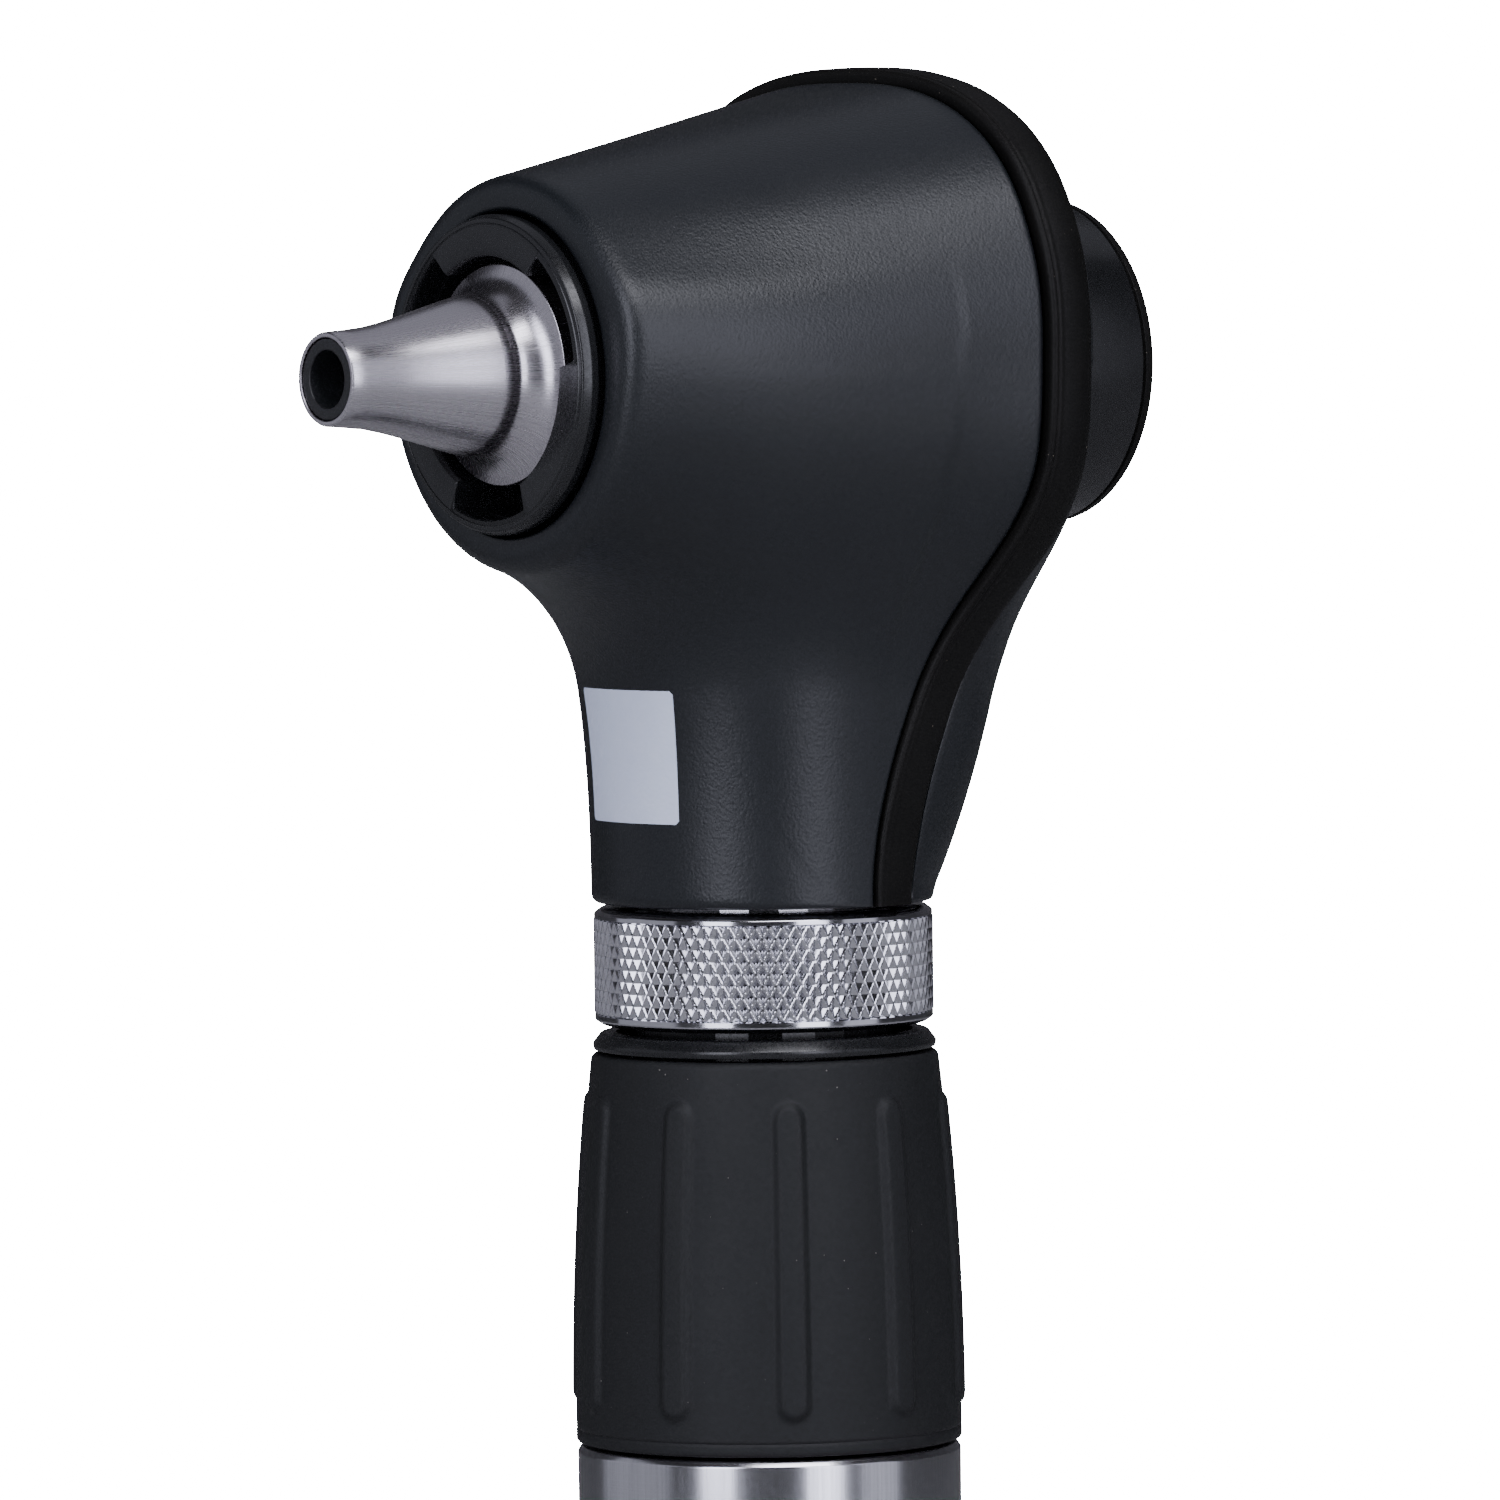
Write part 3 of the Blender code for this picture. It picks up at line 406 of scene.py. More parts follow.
MATERIAL = {
    "shell_plastic": shell_plastic(),
    "bumper_rubber": bumper_rubber(),
    "grip_rubber": grip_rubber(),
    "gloss_plastic": gloss_plastic(),
    "cone_steel": streaked_metal("cone_steel_fine", (0.61, 0.585, 0.62), 0.27,
                                 turned_about=AXIS_Z, along=1.0, round_marks=0.15, depth=0.006),
    "ring_chrome": plain_metal("ring_chrome_fine", (0.64, 0.64, 0.68), 0.11),
    "tube_nickel": streaked_metal("tube_nickel_fine", (0.66, 0.66, 0.70), 0.18,
                                  along=0.8, round_marks=0.3, depth=0.003),
    "contact_brass": plain_metal("contact_brass_fine", (0.70, 0.53, 0.24), 0.26),
    "bright_steel": streaked_metal("bright_steel_fine", (0.66, 0.66, 0.68), 0.24,
                                   round_marks=1.0),
    "heat_sink": streaked_metal("heat_sink_fine", (0.48, 0.49, 0.51), 0.36, round_marks=1.0),
    "lens_glass": coated_glass(),
    "insulator": moulded("insulator_fine", (0.55, 0.53, 0.48)),
    "fibre": fibre_face(),
    "battery_wrap": moulded("battery_wrap_fine", (0.05, 0.16, 0.32), 0.35),
    "button_green": moulded("button_green_fine", (0.03, 0.28, 0.12), 0.3),
}


# ---------------------------------------------------------------- making pieces

def finish_piece(name, mesh, slot, body, nodes, sharp=40.0):
    """Give a mesh its material, seat it on its body and let it stand for its CAD nodes."""
    mesh.materials.append(MATERIAL[slot])
    mesh.shade_smooth()
    mesh.set_sharp_from_angle(angle=math.radians(sharp))
    obj = bpy.data.objects.new(name, mesh)
    bpy.context.scene.collection.objects.link(obj)
    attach(obj, body)
    if nodes:
        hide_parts(*nodes)
    return obj


def grid_faces(rows, columns, wrapped):
    """Corner indices of the quads of a grid, which may join up with itself across its columns."""
    row, column = np.meshgrid(np.arange(rows - 1), np.arange(columns if wrapped else columns - 1),
                              indexing="ij")
    after = (column + 1) % columns
    corners = [row * columns + column, row * columns + after,
               (row + 1) * columns + after, (row + 1) * columns + column]
    return np.stack(corners, axis=-1).reshape(-1, 4)


def mesh_from(name, points, faces):
    """A mesh with consistent outward faces, from points in millimetres."""
    mesh = bpy.data.meshes.new(name)
    corners = np.asarray(points).reshape(-1, 3) * MM
    mesh.from_pydata(corners.tolist(), [], np.asarray(faces).tolist())
    bm = bmesh.new()
    bm.from_mesh(mesh)
    bmesh.ops.remove_doubles(bm, verts=bm.verts, dist=1e-7)
    bmesh.ops.recalc_face_normals(bm, faces=bm.faces)
    bm.to_mesh(mesh)
    bm.free()
    return mesh


def sheet_mesh(name, outer, inner, wrapped):
    """A closed thick sheet: two matching grids of points and the walls between their edges."""
    rows, columns = outer.shape[:2]
    loop = np.concatenate([outer, inner[::-1], outer[:1]])
    faces = [grid_faces(2 * rows + 1, columns, wrapped)]
    if wrapped:
        return mesh_from(name, loop, faces[0])
    for column in (0, columns - 1):
        row = np.arange(rows - 1)
        near = row * columns + column
        far = (2 * rows - 1 - row) * columns + column
        faces.append(np.stack([near, near + columns, far - columns, far], axis=-1))
    return mesh_from(name, loop, np.concatenate(faces))


def rounded(profile, steps=4):
    """Replace each corner (radius, height, fillet) by an arc that touches both its edges."""
    points = []
    count = len(profile)
    for index, (radius, height, *fillet) in enumerate(profile):
        corner = Vector((radius, height))
        if not fillet:
            points.append(tuple(corner))
            continue
        before = Vector(profile[index - 1][:2]) - corner
        after = Vector(profile[(index + 1) % count][:2]) - corner
        half = 0.5 * before.angle(after)
        reach = min(fillet[0] / math.tan(half), 0.48 * before.length, 0.48 * after.length)
        start, end = corner + before.normalized() * reach, corner + after.normalized() * reach
        for step in range(steps + 1):
            share = step / steps
            points.append(tuple(start.lerp(corner, share).lerp(corner.lerp(end, share), share)))
    return points


def ring_mesh(name, angle, rings):
    """Rings round local Z, each joined to the next: (radius, or radii at the angles, height)."""
    points = np.stack([np.stack([radius * np.cos(angle), radius * np.sin(angle),
                                 np.full_like(angle, height)], axis=-1)
                       for radius, height in rings])
    return mesh_from(name, points, grid_faces(len(rings), len(angle), True))


def full_turn(steps):
    """Evenly spaced angles round a circle."""
    return np.linspace(0.0, 2.0 * math.pi, steps, endpoint=False)


def in_metres(place):
    """A placement in millimetres as one in metres."""
    scaled = place.copy()
    scaled.translation = scaled.translation * MM
    return scaled


def lathe(name, profile, slot, body, nodes, place=UPRIGHT, steps=128, closed=True):
    """Turn a profile of (radius, height[, fillet]) points about local Z."""
    outline = rounded(profile)
    if closed:
        outline.append(outline[0])
    mesh = ring_mesh(name, full_turn(steps), outline)
    mesh.transform(in_metres(place))
    return finish_piece(name, mesh, slot, body, nodes)


# ---------------------------------------------------------------- form of the head

def smooth_union(a, b, width):
    """The lower of two distance fields, with the corner between them filled by a fillet."""
    share = np.clip(0.5 + 0.5 * (b - a) / width, 0.0, 1.0)
    return b * (1.0 - share) + a * share - width * share * (1.0 - share)


def smooth_cut(a, b, width):
    """The higher of two distance fields, with a rounded edge."""
    return -smooth_union(-a, -b, width)


def smooth_step(share):
    share = np.clip(share, 0.0, 1.0)
    return share * share * (3.0 - 2.0 * share)


def squircle(across, along, power):
    """The superellipse ratio: 1 on the outline whose half sizes divide the two distances."""
    return (np.abs(across) ** power + np.abs(along) ** power) ** (1.0 / power)


def barrel_field(x, y, z):
    """Signed distance to the sides of the barrel that carries the optics."""
    grown = np.clip((y - BARREL_FRONT_Y) / (BARREL_WIDE_Y - BARREL_FRONT_Y), 0.0, BARREL_GROWTH)
    half_width = BARREL_FRONT_R + (BARREL_HALF_WIDTH - BARREL_FRONT_R) * grown
    up = BARREL_FRONT_R + (BARREL_UP - BARREL_FRONT_R) * grown
    down = BARREL_FRONT_DOWN + (BARREL_DOWN - BARREL_FRONT_DOWN) * grown
    height = z - AXIS_Z
    half_height = np.where(height > 0.0, up, down)
    power = 2.0 + (BARREL_SQUARENESS - 2.0) * np.minimum(grown, 1.0)
    side = squircle(x / half_width, height / half_height, power) - 1.0
    return side * 0.5 * (half_width + half_height)


def neck_field(x, y, z):
    """Signed distance to the neck, round at the handle and squarer behind as it rises."""
    rise = np.clip((z - NECK_FLARE_Z) / (AXIS_Z - NECK_FLARE_Z), 0.0, 1.3)
    half_width = HEAD_NECK_R + NECK_SIDE_FLARE * rise ** 2
    back = HEAD_NECK_R + (NECK_BACK_Y - HEAD_NECK_R) * rise
    front = NECK_FRONT_Y - NECK_FRONT_FLARE * rise ** 3
    middle = 2.0 * rise
    depth = np.where(y > middle, back - middle, middle - front)
    full_power = np.where(y > middle, NECK_BACK_SQUARENESS, NECK_FRONT_SQUARENESS)
    power = 2.0 + (full_power - 2.0) * np.minimum(2.2 * rise, 1.0)
    side = squircle(x / half_width, (y - middle) / depth, power) - 1.0
    return smooth_cut(side * 0.5 * (half_width + depth), z - (AXIS_Z + 2.0), 8.0)


def head_field(points):
    """Signed distance to the outer form of the head. The neck has no lower end."""
    x, y, z = points[..., 0], points[..., 1], points[..., 2]
    form = smooth_union(barrel_field(x, y, z), neck_field(x, y, z), UNION_ROUND)
    slope = HEAD_NECK_R + 0.6 + BACK_SLOPE * (z - NECK_FLARE_Z)
    back = smooth_union(BACK_Y + 0.0 * z, slope, BACK_SLOPE_ROUND)
    form = smooth_cut(form, y - back, BACK_ROUND)
    return smooth_cut(form, BARREL_FRONT_Y - y, FRONT_ROUND)


def halve(is_inside, start, stop):
    """Where a test changes from true at start to false at stop, for whole arrays at once."""
    for _ in range(HALVINGS):
        middle = 0.5 * (start + stop)
        inside = is_inside(middle)
        start = np.where(inside, middle, start)
        stop = np.where(inside, stop, middle)
    return start


def on_head(tilt, bearing):
    """Points of the head's form on rays from its centre: tilt from forward, bearing from up."""
    direction = np.stack([np.sin(tilt) * np.sin(bearing), -np.cos(tilt),
                          np.sin(tilt) * np.cos(bearing)], axis=-1)

    def at(reach):
        return HEAD_CENTRE + direction * reach[..., None]

    far = np.full_like(tilt, HEAD_REACH)
    return at(halve(lambda r: head_field(at(r)) < 0.0, np.zeros_like(tilt), far))


def outward(points):
    """Unit normals of the head's form, from the slope of its distance field."""
    slopes = []
    for axis in np.eye(3) * 0.01:
        slopes.append(head_field(points + axis) - head_field(points - axis))
    normal = np.stack(slopes, axis=-1)
    return normal / np.linalg.norm(normal, axis=-1, keepdims=True)


def parting_y(z):
    """The front edge of the bumper, seen from the side."""
    share = smooth_step((z - PARTING_LOW_Z) / (PARTING_HIGH_Z - PARTING_LOW_Z))
    return PARTING_NECK_Y + (PARTING_HEAD_Y - PARTING_NECK_Y) * share


def bumper_raise(z):
    """How far the bumper stands out of the shell."""
    share = smooth_step((z - PARTING_LOW_Z) / (PARTING_HIGH_Z - PARTING_LOW_Z))
    return BUMPER_RAISE_NECK + (BUMPER_RAISE_HEAD - BUMPER_RAISE_NECK) * share


def behind_parting(points, shift):
    return points[..., 1] - parting_y(points[..., 2]) - shift


def off_axis(points):
    return np.hypot(points[..., 0], points[..., 2] - AXIS_Z)


def tilt_at_radius(bearing, radius, start, stop):
    """The tilt at which the head's form is a given distance from the optical axis."""
    return halve(lambda t: off_axis(on_head(t, bearing)) < radius,
                 np.full_like(bearing, start), np.full_like(bearing, stop))


def tilt_at_parting(bearing, shift):
    """The tilt at which the head's form crosses the parting line, moved back by a shift."""
    return halve(lambda t: behind_parting(on_head(t, bearing), shift) < 0.0,
                 np.full_like(bearing, 0.05), np.full_like(bearing, 0.98 * math.pi))


def neck_bearing(shift):
    """The bearing at which the shifted parting line reaches the head's lower end."""
    y = parting_y(HEAD_BOTTOM) + shift

    def inside(x):
        point = np.stack([x, np.full_like(x, y), np.full_like(x, HEAD_BOTTOM)], -1)
        return head_field(point) < 0.0

    x = float(halve(inside, np.zeros(1), np.full(1, 30.0))[0])
    return math.atan2(x, HEAD_BOTTOM - AXIS_Z)


def arch(corner, count=240):
    """Bearings over the head from corner to corner, closer together down the neck."""
    share = np.linspace(-1.0, 1.0, count + 1)
    return corner * share * (1.5 - 0.5 * share ** 2)


def full_circle(corner, under=60):
    """Bearings all round: over the head and then along its lower end."""
    return np.concatenate([arch(corner)[:-1],
                           np.linspace(corner, 2.0 * math.pi - corner, under, endpoint=False)])


# A casing's edge: shares of its width at which the surface sinks by the drops, to round it
EDGE_SHARES = np.array([0.0, 0.0012, 0.0035, 0.0075])
EDGE_DROPS = np.array([0.40, 0.19, 0.05, 0.0])


def edged_rows(count, soft_start=True, soft_end=True):
    """Shares of the way across a casing, and how far each row sinks to round the two edges."""
    shares, drops = np.linspace(0.0, 1.0, count), np.zeros(count)
    if soft_start:
        shares = np.concatenate([EDGE_SHARES, shares[1:]])
        drops = np.concatenate([EDGE_DROPS, drops[1:]])
    if soft_end:
        shares = np.concatenate([shares[:-1], 1.0 - EDGE_SHARES[::-1]])
        drops = np.concatenate([drops[:-1], EDGE_DROPS[::-1]])
    return shares, drops


def casing(bearing, start, stop, rows, level, thickness, end_drops=None):
    """Outer and inner grids of a casing that lies a level under the head's form."""
    shares, drops = edged_rows(rows)
    tilts = np.stack([start + (stop - start) * share for share in shares])
    points = on_head(tilts, np.broadcast_to(bearing, tilts.shape))
    normals = outward(points)
    depth = level + drops[:, None] + (0.0 if end_drops is None else end_drops[None, :])
    outer = points - depth[..., None] * normals
    return outer, points - (level + thickness) * normals


# ---------------------------------------------------------------- pieces of the head

def make_front_shell():
    """The grained casing, with softened rims at the collar and along the bumper."""
    shift = -0.5 * SEAM
    bearing = full_circle(neck_bearing(shift))
    start = tilt_at_radius(bearing, SHELL_BORE_R, 0.01, 0.4 * math.pi)

    def in_front(tilt):
        points = on_head(tilt, bearing)
        return (behind_parting(points, shift) < 0.0) & (points[..., 2] > HEAD_BOTTOM)

    stop = halve(in_front, start, np.full_like(bearing, 0.98 * math.pi))
    outer, inner = casing(bearing, start, stop, 90, 0.0, WALL)
    mesh = sheet_mesh("shell_front", outer, inner, True)
    finish_piece("shell_front", mesh, "shell_plastic", "head", ["front_shell"])


def make_bumper():
    """The rubber strip: a steep front, a crest with a fine double line, and a broad back."""
    # (distance behind the parting line, share of the full raise)
    section = [(0.5 * SEAM, -0.3), (0.12, 0.45), (0.22, 0.8), (0.4, 0.97), (0.62, 1.0),
               (0.72, 0.93), (0.82, 1.0), (1.05, 1.0), (1.15, 0.94), (1.3, 0.96), (1.9, 0.93),
               (2.6, 0.88), (3.3, 0.83), (3.8, 0.74), (4.0, 0.58),
               (BUMPER_WIDTH - 0.5 * SEAM, 0.2)]
    outer, inner = [], []
    for shift, share in section:
        bearing = arch(neck_bearing(shift))
        points = on_head(tilt_at_parting(bearing, shift), bearing)
        normals = outward(points)
        height = share * bumper_raise(points[..., 2])
        outer.append(points + height[..., None] * normals)
        inner.append(points - WALL * normals)
    mesh = sheet_mesh("bumper", np.stack(outer), np.stack(inner), False)
    finish_piece("bumper", mesh, "bumper_rubber", "head", ["bumper_strip"])


def rear_stop(bearing, start, shift):
    """Going out from the eyepiece, the tilt at which the rear of the head ends."""
    def behind(tilt):
        points = on_head(tilt, bearing)
        return (behind_parting(points, shift) > 0.0) & (points[..., 2] > HEAD_BOTTOM)

    return halve(behind, start, np.full_like(bearing, 0.02 * math.pi))


def make_rear_cover():
    """The casing behind the bumper."""
    shift = BUMPER_WIDTH + 0.5 * SEAM
    bearing = full_circle(neck_bearing(shift))
    start = tilt_at_radius(bearing, HOUSING_HIGH[0] + 0.3, 0.999 * math.pi, 0.6 * math.pi)
    outer, inner = casing(bearing, start, rear_stop(bearing, start, shift), 36, PANEL_STEP, 1.4)
    mesh = sheet_mesh("cover_rear", outer, inner, True)
    finish_piece("cover_rear", mesh, "shell_plastic", "head", ["rear_cover"])


def make_rear_panel():
    """The raised plate on the lower part of the rear cover, with softened edges all round."""
    shift = BUMPER_WIDTH + 0.5 * SEAM
    corner = neck_bearing(shift)
    over = arch(corner)
    side = over[over > PANEL_TOP_BEARING + 0.02]
    below = np.linspace(corner, 2.0 * math.pi - corner, 60)[1:-1]
    lead = PANEL_TOP_BEARING + np.array([0.0, 0.003, 0.008, 0.016])
    half = np.concatenate([lead, side])
    bearing = np.concatenate([half, below, 2.0 * math.pi - half[::-1]])
    drops = np.zeros(len(bearing))
    drops[:4] = drops[::-1][:4] = EDGE_DROPS
    drops[-4:] = EDGE_DROPS[::-1]
    start = tilt_at_radius(bearing, HOUSING_HIGH[0] + 0.3, 0.999 * math.pi, 0.6 * math.pi)
    stop = rear_stop(bearing, start, shift)
    outer, inner = casing(bearing, start, stop, 36, 0.0, PANEL_STEP - 0.1, end_drops=drops)
    mesh = sheet_mesh("panel_rear", outer, inner, False)
    finish_piece("panel_rear", mesh, "shell_plastic", "head", ["rear_panel"])


def make_label():
    """A blank pale panel printed on the front of the neck."""
    turn, height = np.meshgrid(np.linspace(-1.0, 1.0, 49), np.linspace(-1.0, 1.0, 41))
    into_corner = np.clip((np.abs(height) - 1.0) / LABEL_CORNER + 1.0, 0.0, 1.0)
    width = 1.0 - LABEL_CORNER * (1.0 - np.sqrt(1.0 - into_corner ** 2))
    turn = turn * width * LABEL_HALF_TURN
    z = LABEL_MIDDLE_Z + LABEL_HALF_HEIGHT * height
    direction = np.stack([np.sin(turn), -np.cos(turn), 0.0 * turn], axis=-1)
    base = np.stack([0.0 * z, 0.0 * z, z], axis=-1)
    reach = halve(lambda r: head_field(base + direction * r[..., None]) < 0.0,
                  np.zeros_like(z), np.full_like(z, 40.0))
    points = base + direction * reach[..., None]
    normals = outward(points)
    mesh = sheet_mesh("neck_label", points + 0.03 * normals, points - 0.1 * normals, False)
    label = finish_piece("neck_label", mesh, "shell_plastic", "head", [])
    label.data.materials[0] = pale_print()


def make_cone():
    """The brushed cone with its rounded shoulder, hollow flare and flange."""
    profile = [
        (TIP_R - 0.12, TIP_FRONT, 0.08), (TIP_R, TIP_FRONT - 0.2), (3.86, 41.0), (4.05, 39.0),
        (4.42, 37.1), (4.87, 35.2), (5.42, 33.1), (5.95, 31.1), (6.25, 29.9),
        (CONE_SHOULDER_R, CONE_SHOULDER), (6.32, 28.9), (6.2, 28.6), (6.26, 28.15), (6.5, 27.7),
        (6.85, 27.1), (7.3, 26.6), (8.0, 26.1), (CONE_FLANGE_R, 25.9, 0.12), (CONE_FLANGE_R, 19.6),
        (8.1, 19.6), (8.1, 22.8), (5.2, 28.0), (4.0, 35.0), (3.45, 40.0), (3.3, TIP_FRONT, 0.08)]
    lathe("cone", profile, "cone_steel", "head", ["speculum_cone"], FORWARD, steps=160)


def make_light_guide():
    """The dark ring of fibres behind the metal rim, with a stepped bore."""
    profile = [
        (3.22, TIP_FRONT - 0.12, 0.1), (3.2, 40.0), (3.7, 35.0), (4.9, 27.8), (7.8, 22.4),
        (7.8, 20.4), (TIP_BORE_R - 0.35, 20.4), (TIP_BORE_R - 0.35, TIP_FRONT - 4.2, 0.15),
        (TIP_BORE_R, TIP_FRONT - 4.2), (TIP_BORE_R, TIP_FRONT - 0.12, 0.12)]
    lathe("fibre_end", profile, "fibre", "head", ["fibre_ring"], FORWARD)


def notch_share(angle):
    """1 inside the three notches of the collar and 0 outside, with a short rounded change."""
    share = np.zeros_like(angle)
    for centre in NOTCH_ANGLES:
        away = np.abs((angle - math.radians(centre) + math.pi) % (2.0 * math.pi) - math.pi)
        edge = (math.radians(0.5 * NOTCH_WIDTH) - away) * COLLAR_BORE_R
        share = np.maximum(share, smooth_step(edge / 0.5 + 0.5))
    return share


def make_collar():
    """The collar: a lipped front face and a bore that steps out at the three notches."""
    angle = full_turn(720)
    notch = notch_share(angle)
    bore = COLLAR_BORE_R + (NOTCH_R - COLLAR_BORE_R) * notch
    outer = rounded([(11.95, COLLAR_FRONT, 0.12), (12.1, COLLAR_FRONT - 0.14, 0.1),
                     (12.45, COLLAR_FRONT - 0.14, 0.3), (COLLAR_R, COLLAR_FRONT - 0.9, 0.5),
                     (COLLAR_R, COLLAR_FRONT - 1.5), (12.3, COLLAR_FRONT - 2.0),
                     (12.3, COLLAR_BACK), (11.4, COLLAR_BACK), (11.4, COLLAR_FRONT - 2.6)])
    wall = [(bore - 0.05 * notch, COLLAR_FRONT - 2.6)]
    wall += [(bore, COLLAR_FRONT - depth) for depth in (2.5, 1.6, 0.8, 0.2)]
    lip = [(bore + 0.06, COLLAR_FRONT - 0.06), (np.minimum(bore + 0.22, 11.6), COLLAR_FRONT)]
    mesh = ring_mesh("collar", angle, outer + wall + lip + outer[:1])
    mesh.transform(in_metres(FORWARD))
    finish_piece("collar", mesh, "gloss_plastic", "collar", ["tip_collar"], sharp=30.0)


def make_eyepiece():
    """The focusing ring with its fine line, the rim, and the lens with its housing."""
    front, back, rear = -FOCUS_LOW[1], -FOCUS_HIGH[1], -CUP_HIGH[1]
    radius = FOCUS_HIGH[0]
    ring = [(radius, front, 0.3), (radius, back + 0.12, 0.1), (radius - 0.25, back, 0.1),
            (11.6, back, 0.2), (11.6, front, 0.3)]
    lathe("eyepiece_ring", ring, "gloss_plastic", "eyepiece_focus", ["focus_ring"], FORWARD, 160)
    cup = [(radius - 0.25, back - 0.06, 0.08), (radius, back - 0.2, 0.08),
           (radius, rear + 0.45, 0.4), (radius - 0.5, rear, 0.3), (11.0, rear, 0.3),
           (10.3, rear + 0.4, 0.2),
           (10.3, back - 0.06, 0.1)]
    lathe("eyepiece_rim", cup, "bumper_rubber", "eyepiece_focus", ["eyecup"], FORWARD, 160)
    near, far = -HOUSING_LOW[1], -HOUSING_HIGH[1]
    housing = [(11.2, near, 0.2), (11.2, far, 0.2), (9.8, far, 0.3), (9.8, near, 0.2)]
    lathe("eyepiece_tube", housing, "gloss_plastic", "head", ["eyepiece_housing"], FORWARD, 160)
    dome = [(9.5 * math.sin(t), -23.2 - 0.9 * math.cos(t)) for t in np.linspace(1.5, 0.0, 12)]
    glass = [(0.0, -19.9), (5.0, -20.0), (9.5, -20.4), (9.5, -23.1)] + dome
    lathe("eyepiece_glass", glass, "lens_glass", "head", ["eyepiece_lens"], FORWARD, 96, False)


def make_port():
    """The metal nipple for the air bulb, with its rolled lip and plain base."""
    place = Matrix.Translation((0.0, 0.5 * (PORT_LOW[1] + PORT_HIGH[1]),
                                0.5 * (PORT_LOW[2] + PORT_HIGH[2])))
    place = place @ Matrix.Rotation(math.radians(-90.0), 4, "Y")
    tip, root = -PORT_LOW[0], -PORT_HIGH[0]
    profile = [(1.9, tip, 0.3), (2.1, tip - 0.9, 0.3), (1.75, tip - 1.6, 0.2), (1.75, tip - 2.2),
               (2.6, tip - 2.5, 0.2), (2.6, root), (0.9, root), (0.9, tip, 0.3)]
    lathe("air_port", profile, "bright_steel", "head", ["insufflation_port"], place, 64)


# ---------------------------------------------------------------- pieces of the handle

def knurl_depth(turn, climb):
    """Depth of the knurl: pits in the shape of diamonds between crossing ridges."""
    one = np.abs((turn + climb) % 1.0 - 0.5) * 2.0
    other = np.abs((turn - climb) % 1.0 - 0.5) * 2.0
    full = 1.0 - KNURL_LAND
    return KNURL_DEPTH * (1.0 - np.minimum(np.maximum(one, other), full) / full)


def cut_button_hole(mesh):
    """The ring's mesh with a round hole through its rear wall for the lock button."""
    bm = bmesh.new()
    bmesh.ops.create_cone(bm, cap_ends=True, segments=64, radius1=(BUTTON_R + BUTTON_GAP) * MM,
                          radius2=(BUTTON_R + BUTTON_GAP) * MM, depth=8.0 * MM,
                          matrix=in_metres(BUTTON_PLACE @ Matrix.Translation((0.0, 0.0, 13.0))))
    drill = bpy.data.meshes.new("button_drill")
    bm.to_mesh(drill)
    bm.free()
    pair = [bpy.data.objects.new("drilled", mesh), bpy.data.objects.new("drill", drill)]
    for obj in pair:
        bpy.context.scene.collection.objects.link(obj)
    cut = pair[0].modifiers.new("hole", "BOOLEAN")
    cut.object = pair[1]
    cut.operation = "DIFFERENCE"
    depsgraph = bpy.context.evaluated_depsgraph_get()
    drilled = bpy.data.meshes.new_from_object(pair[0].evaluated_get(depsgraph))
    for obj in pair:
        bpy.data.objects.remove(obj)
    return drilled


def make_button():
    """The lock button: a round cap with a softened edge, in the rear wall of the ring."""
    inner, outer = BUTTON_LOW[1], BUTTON_HIGH[1]
    profile = [(0.0, inner), (BUTTON_R, inner), (BUTTON_R, outer, 0.35), (0.0, outer)]
    lathe("button", profile, "button_green", "lock", ["lock_button"], BUTTON_PLACE, 64, False)


def make_knurled_ring():
    """The bright ring: plain chamfered bands above and below a belt of diamond knurling."""
    per_diamond, per_row = KNURL_FINENESS
    columns = KNURL_COUNT * per_diamond
    low, high, radius = RING_LOW[2], RING_HIGH[2], RING_HIGH[0]
    belt_low, belt_high = low + BELT_LOW, high - BELT_HIGH
    angle = full_turn(columns)
    turn = angle * KNURL_COUNT / (2.0 * math.pi)
    upper = [(9.6, high), (12.9, high), (13.1, high - 0.04), (radius - 0.12, high - 0.4),
             (radius - 0.05, high - 0.52), (radius - 0.05, belt_high + 0.12),
             (radius - 0.2, belt_high + 0.02)]
    lower = [(radius - 0.2, belt_low - 0.02), (radius - 0.05, belt_low - 0.12),
             (radius - 0.05, low + 0.5), (radius - 0.12, low + 0.38), (13.1, low + 0.06),
             (12.9, low), (11.0, low), (11.0, high - 1.6), (9.6, high - 1.6), (9.6, high)]
    belt = [(radius - knurl_depth(turn, climb),
             belt_high + (belt_low - belt_high) * climb / KNURL_ROWS)
            for climb in np.linspace(0.0, KNURL_ROWS, KNURL_ROWS * per_row + 1)]
    mesh = cut_button_hole(ring_mesh("brightness_knurl", angle, upper + belt + lower))
    finish_piece("brightness_knurl", mesh, "ring_chrome", "brightness_ring", ["knurled_ring"],
                 sharp=25.0)


def grip_radius(z):
    """The grip's outline without ribs: a rounded shoulder, then a gentle swell to its foot."""
    low, high = GRIP_LOW[2], GRIP_HIGH[2]
    share = np.clip((high - z) / (high - low), 0.0, 1.0)
    radius = GRIP_TOP_R + (GRIP_WIDE_R - GRIP_TOP_R) * (1.0 - (1.0 - share) ** 2.2)
    shoulder = np.clip((0.5 - (high - z)) / 0.5, 0.0, 1.0)
    return radius - 0.5 * (1.0 - np.sqrt(1.0 - shoulder ** 2))


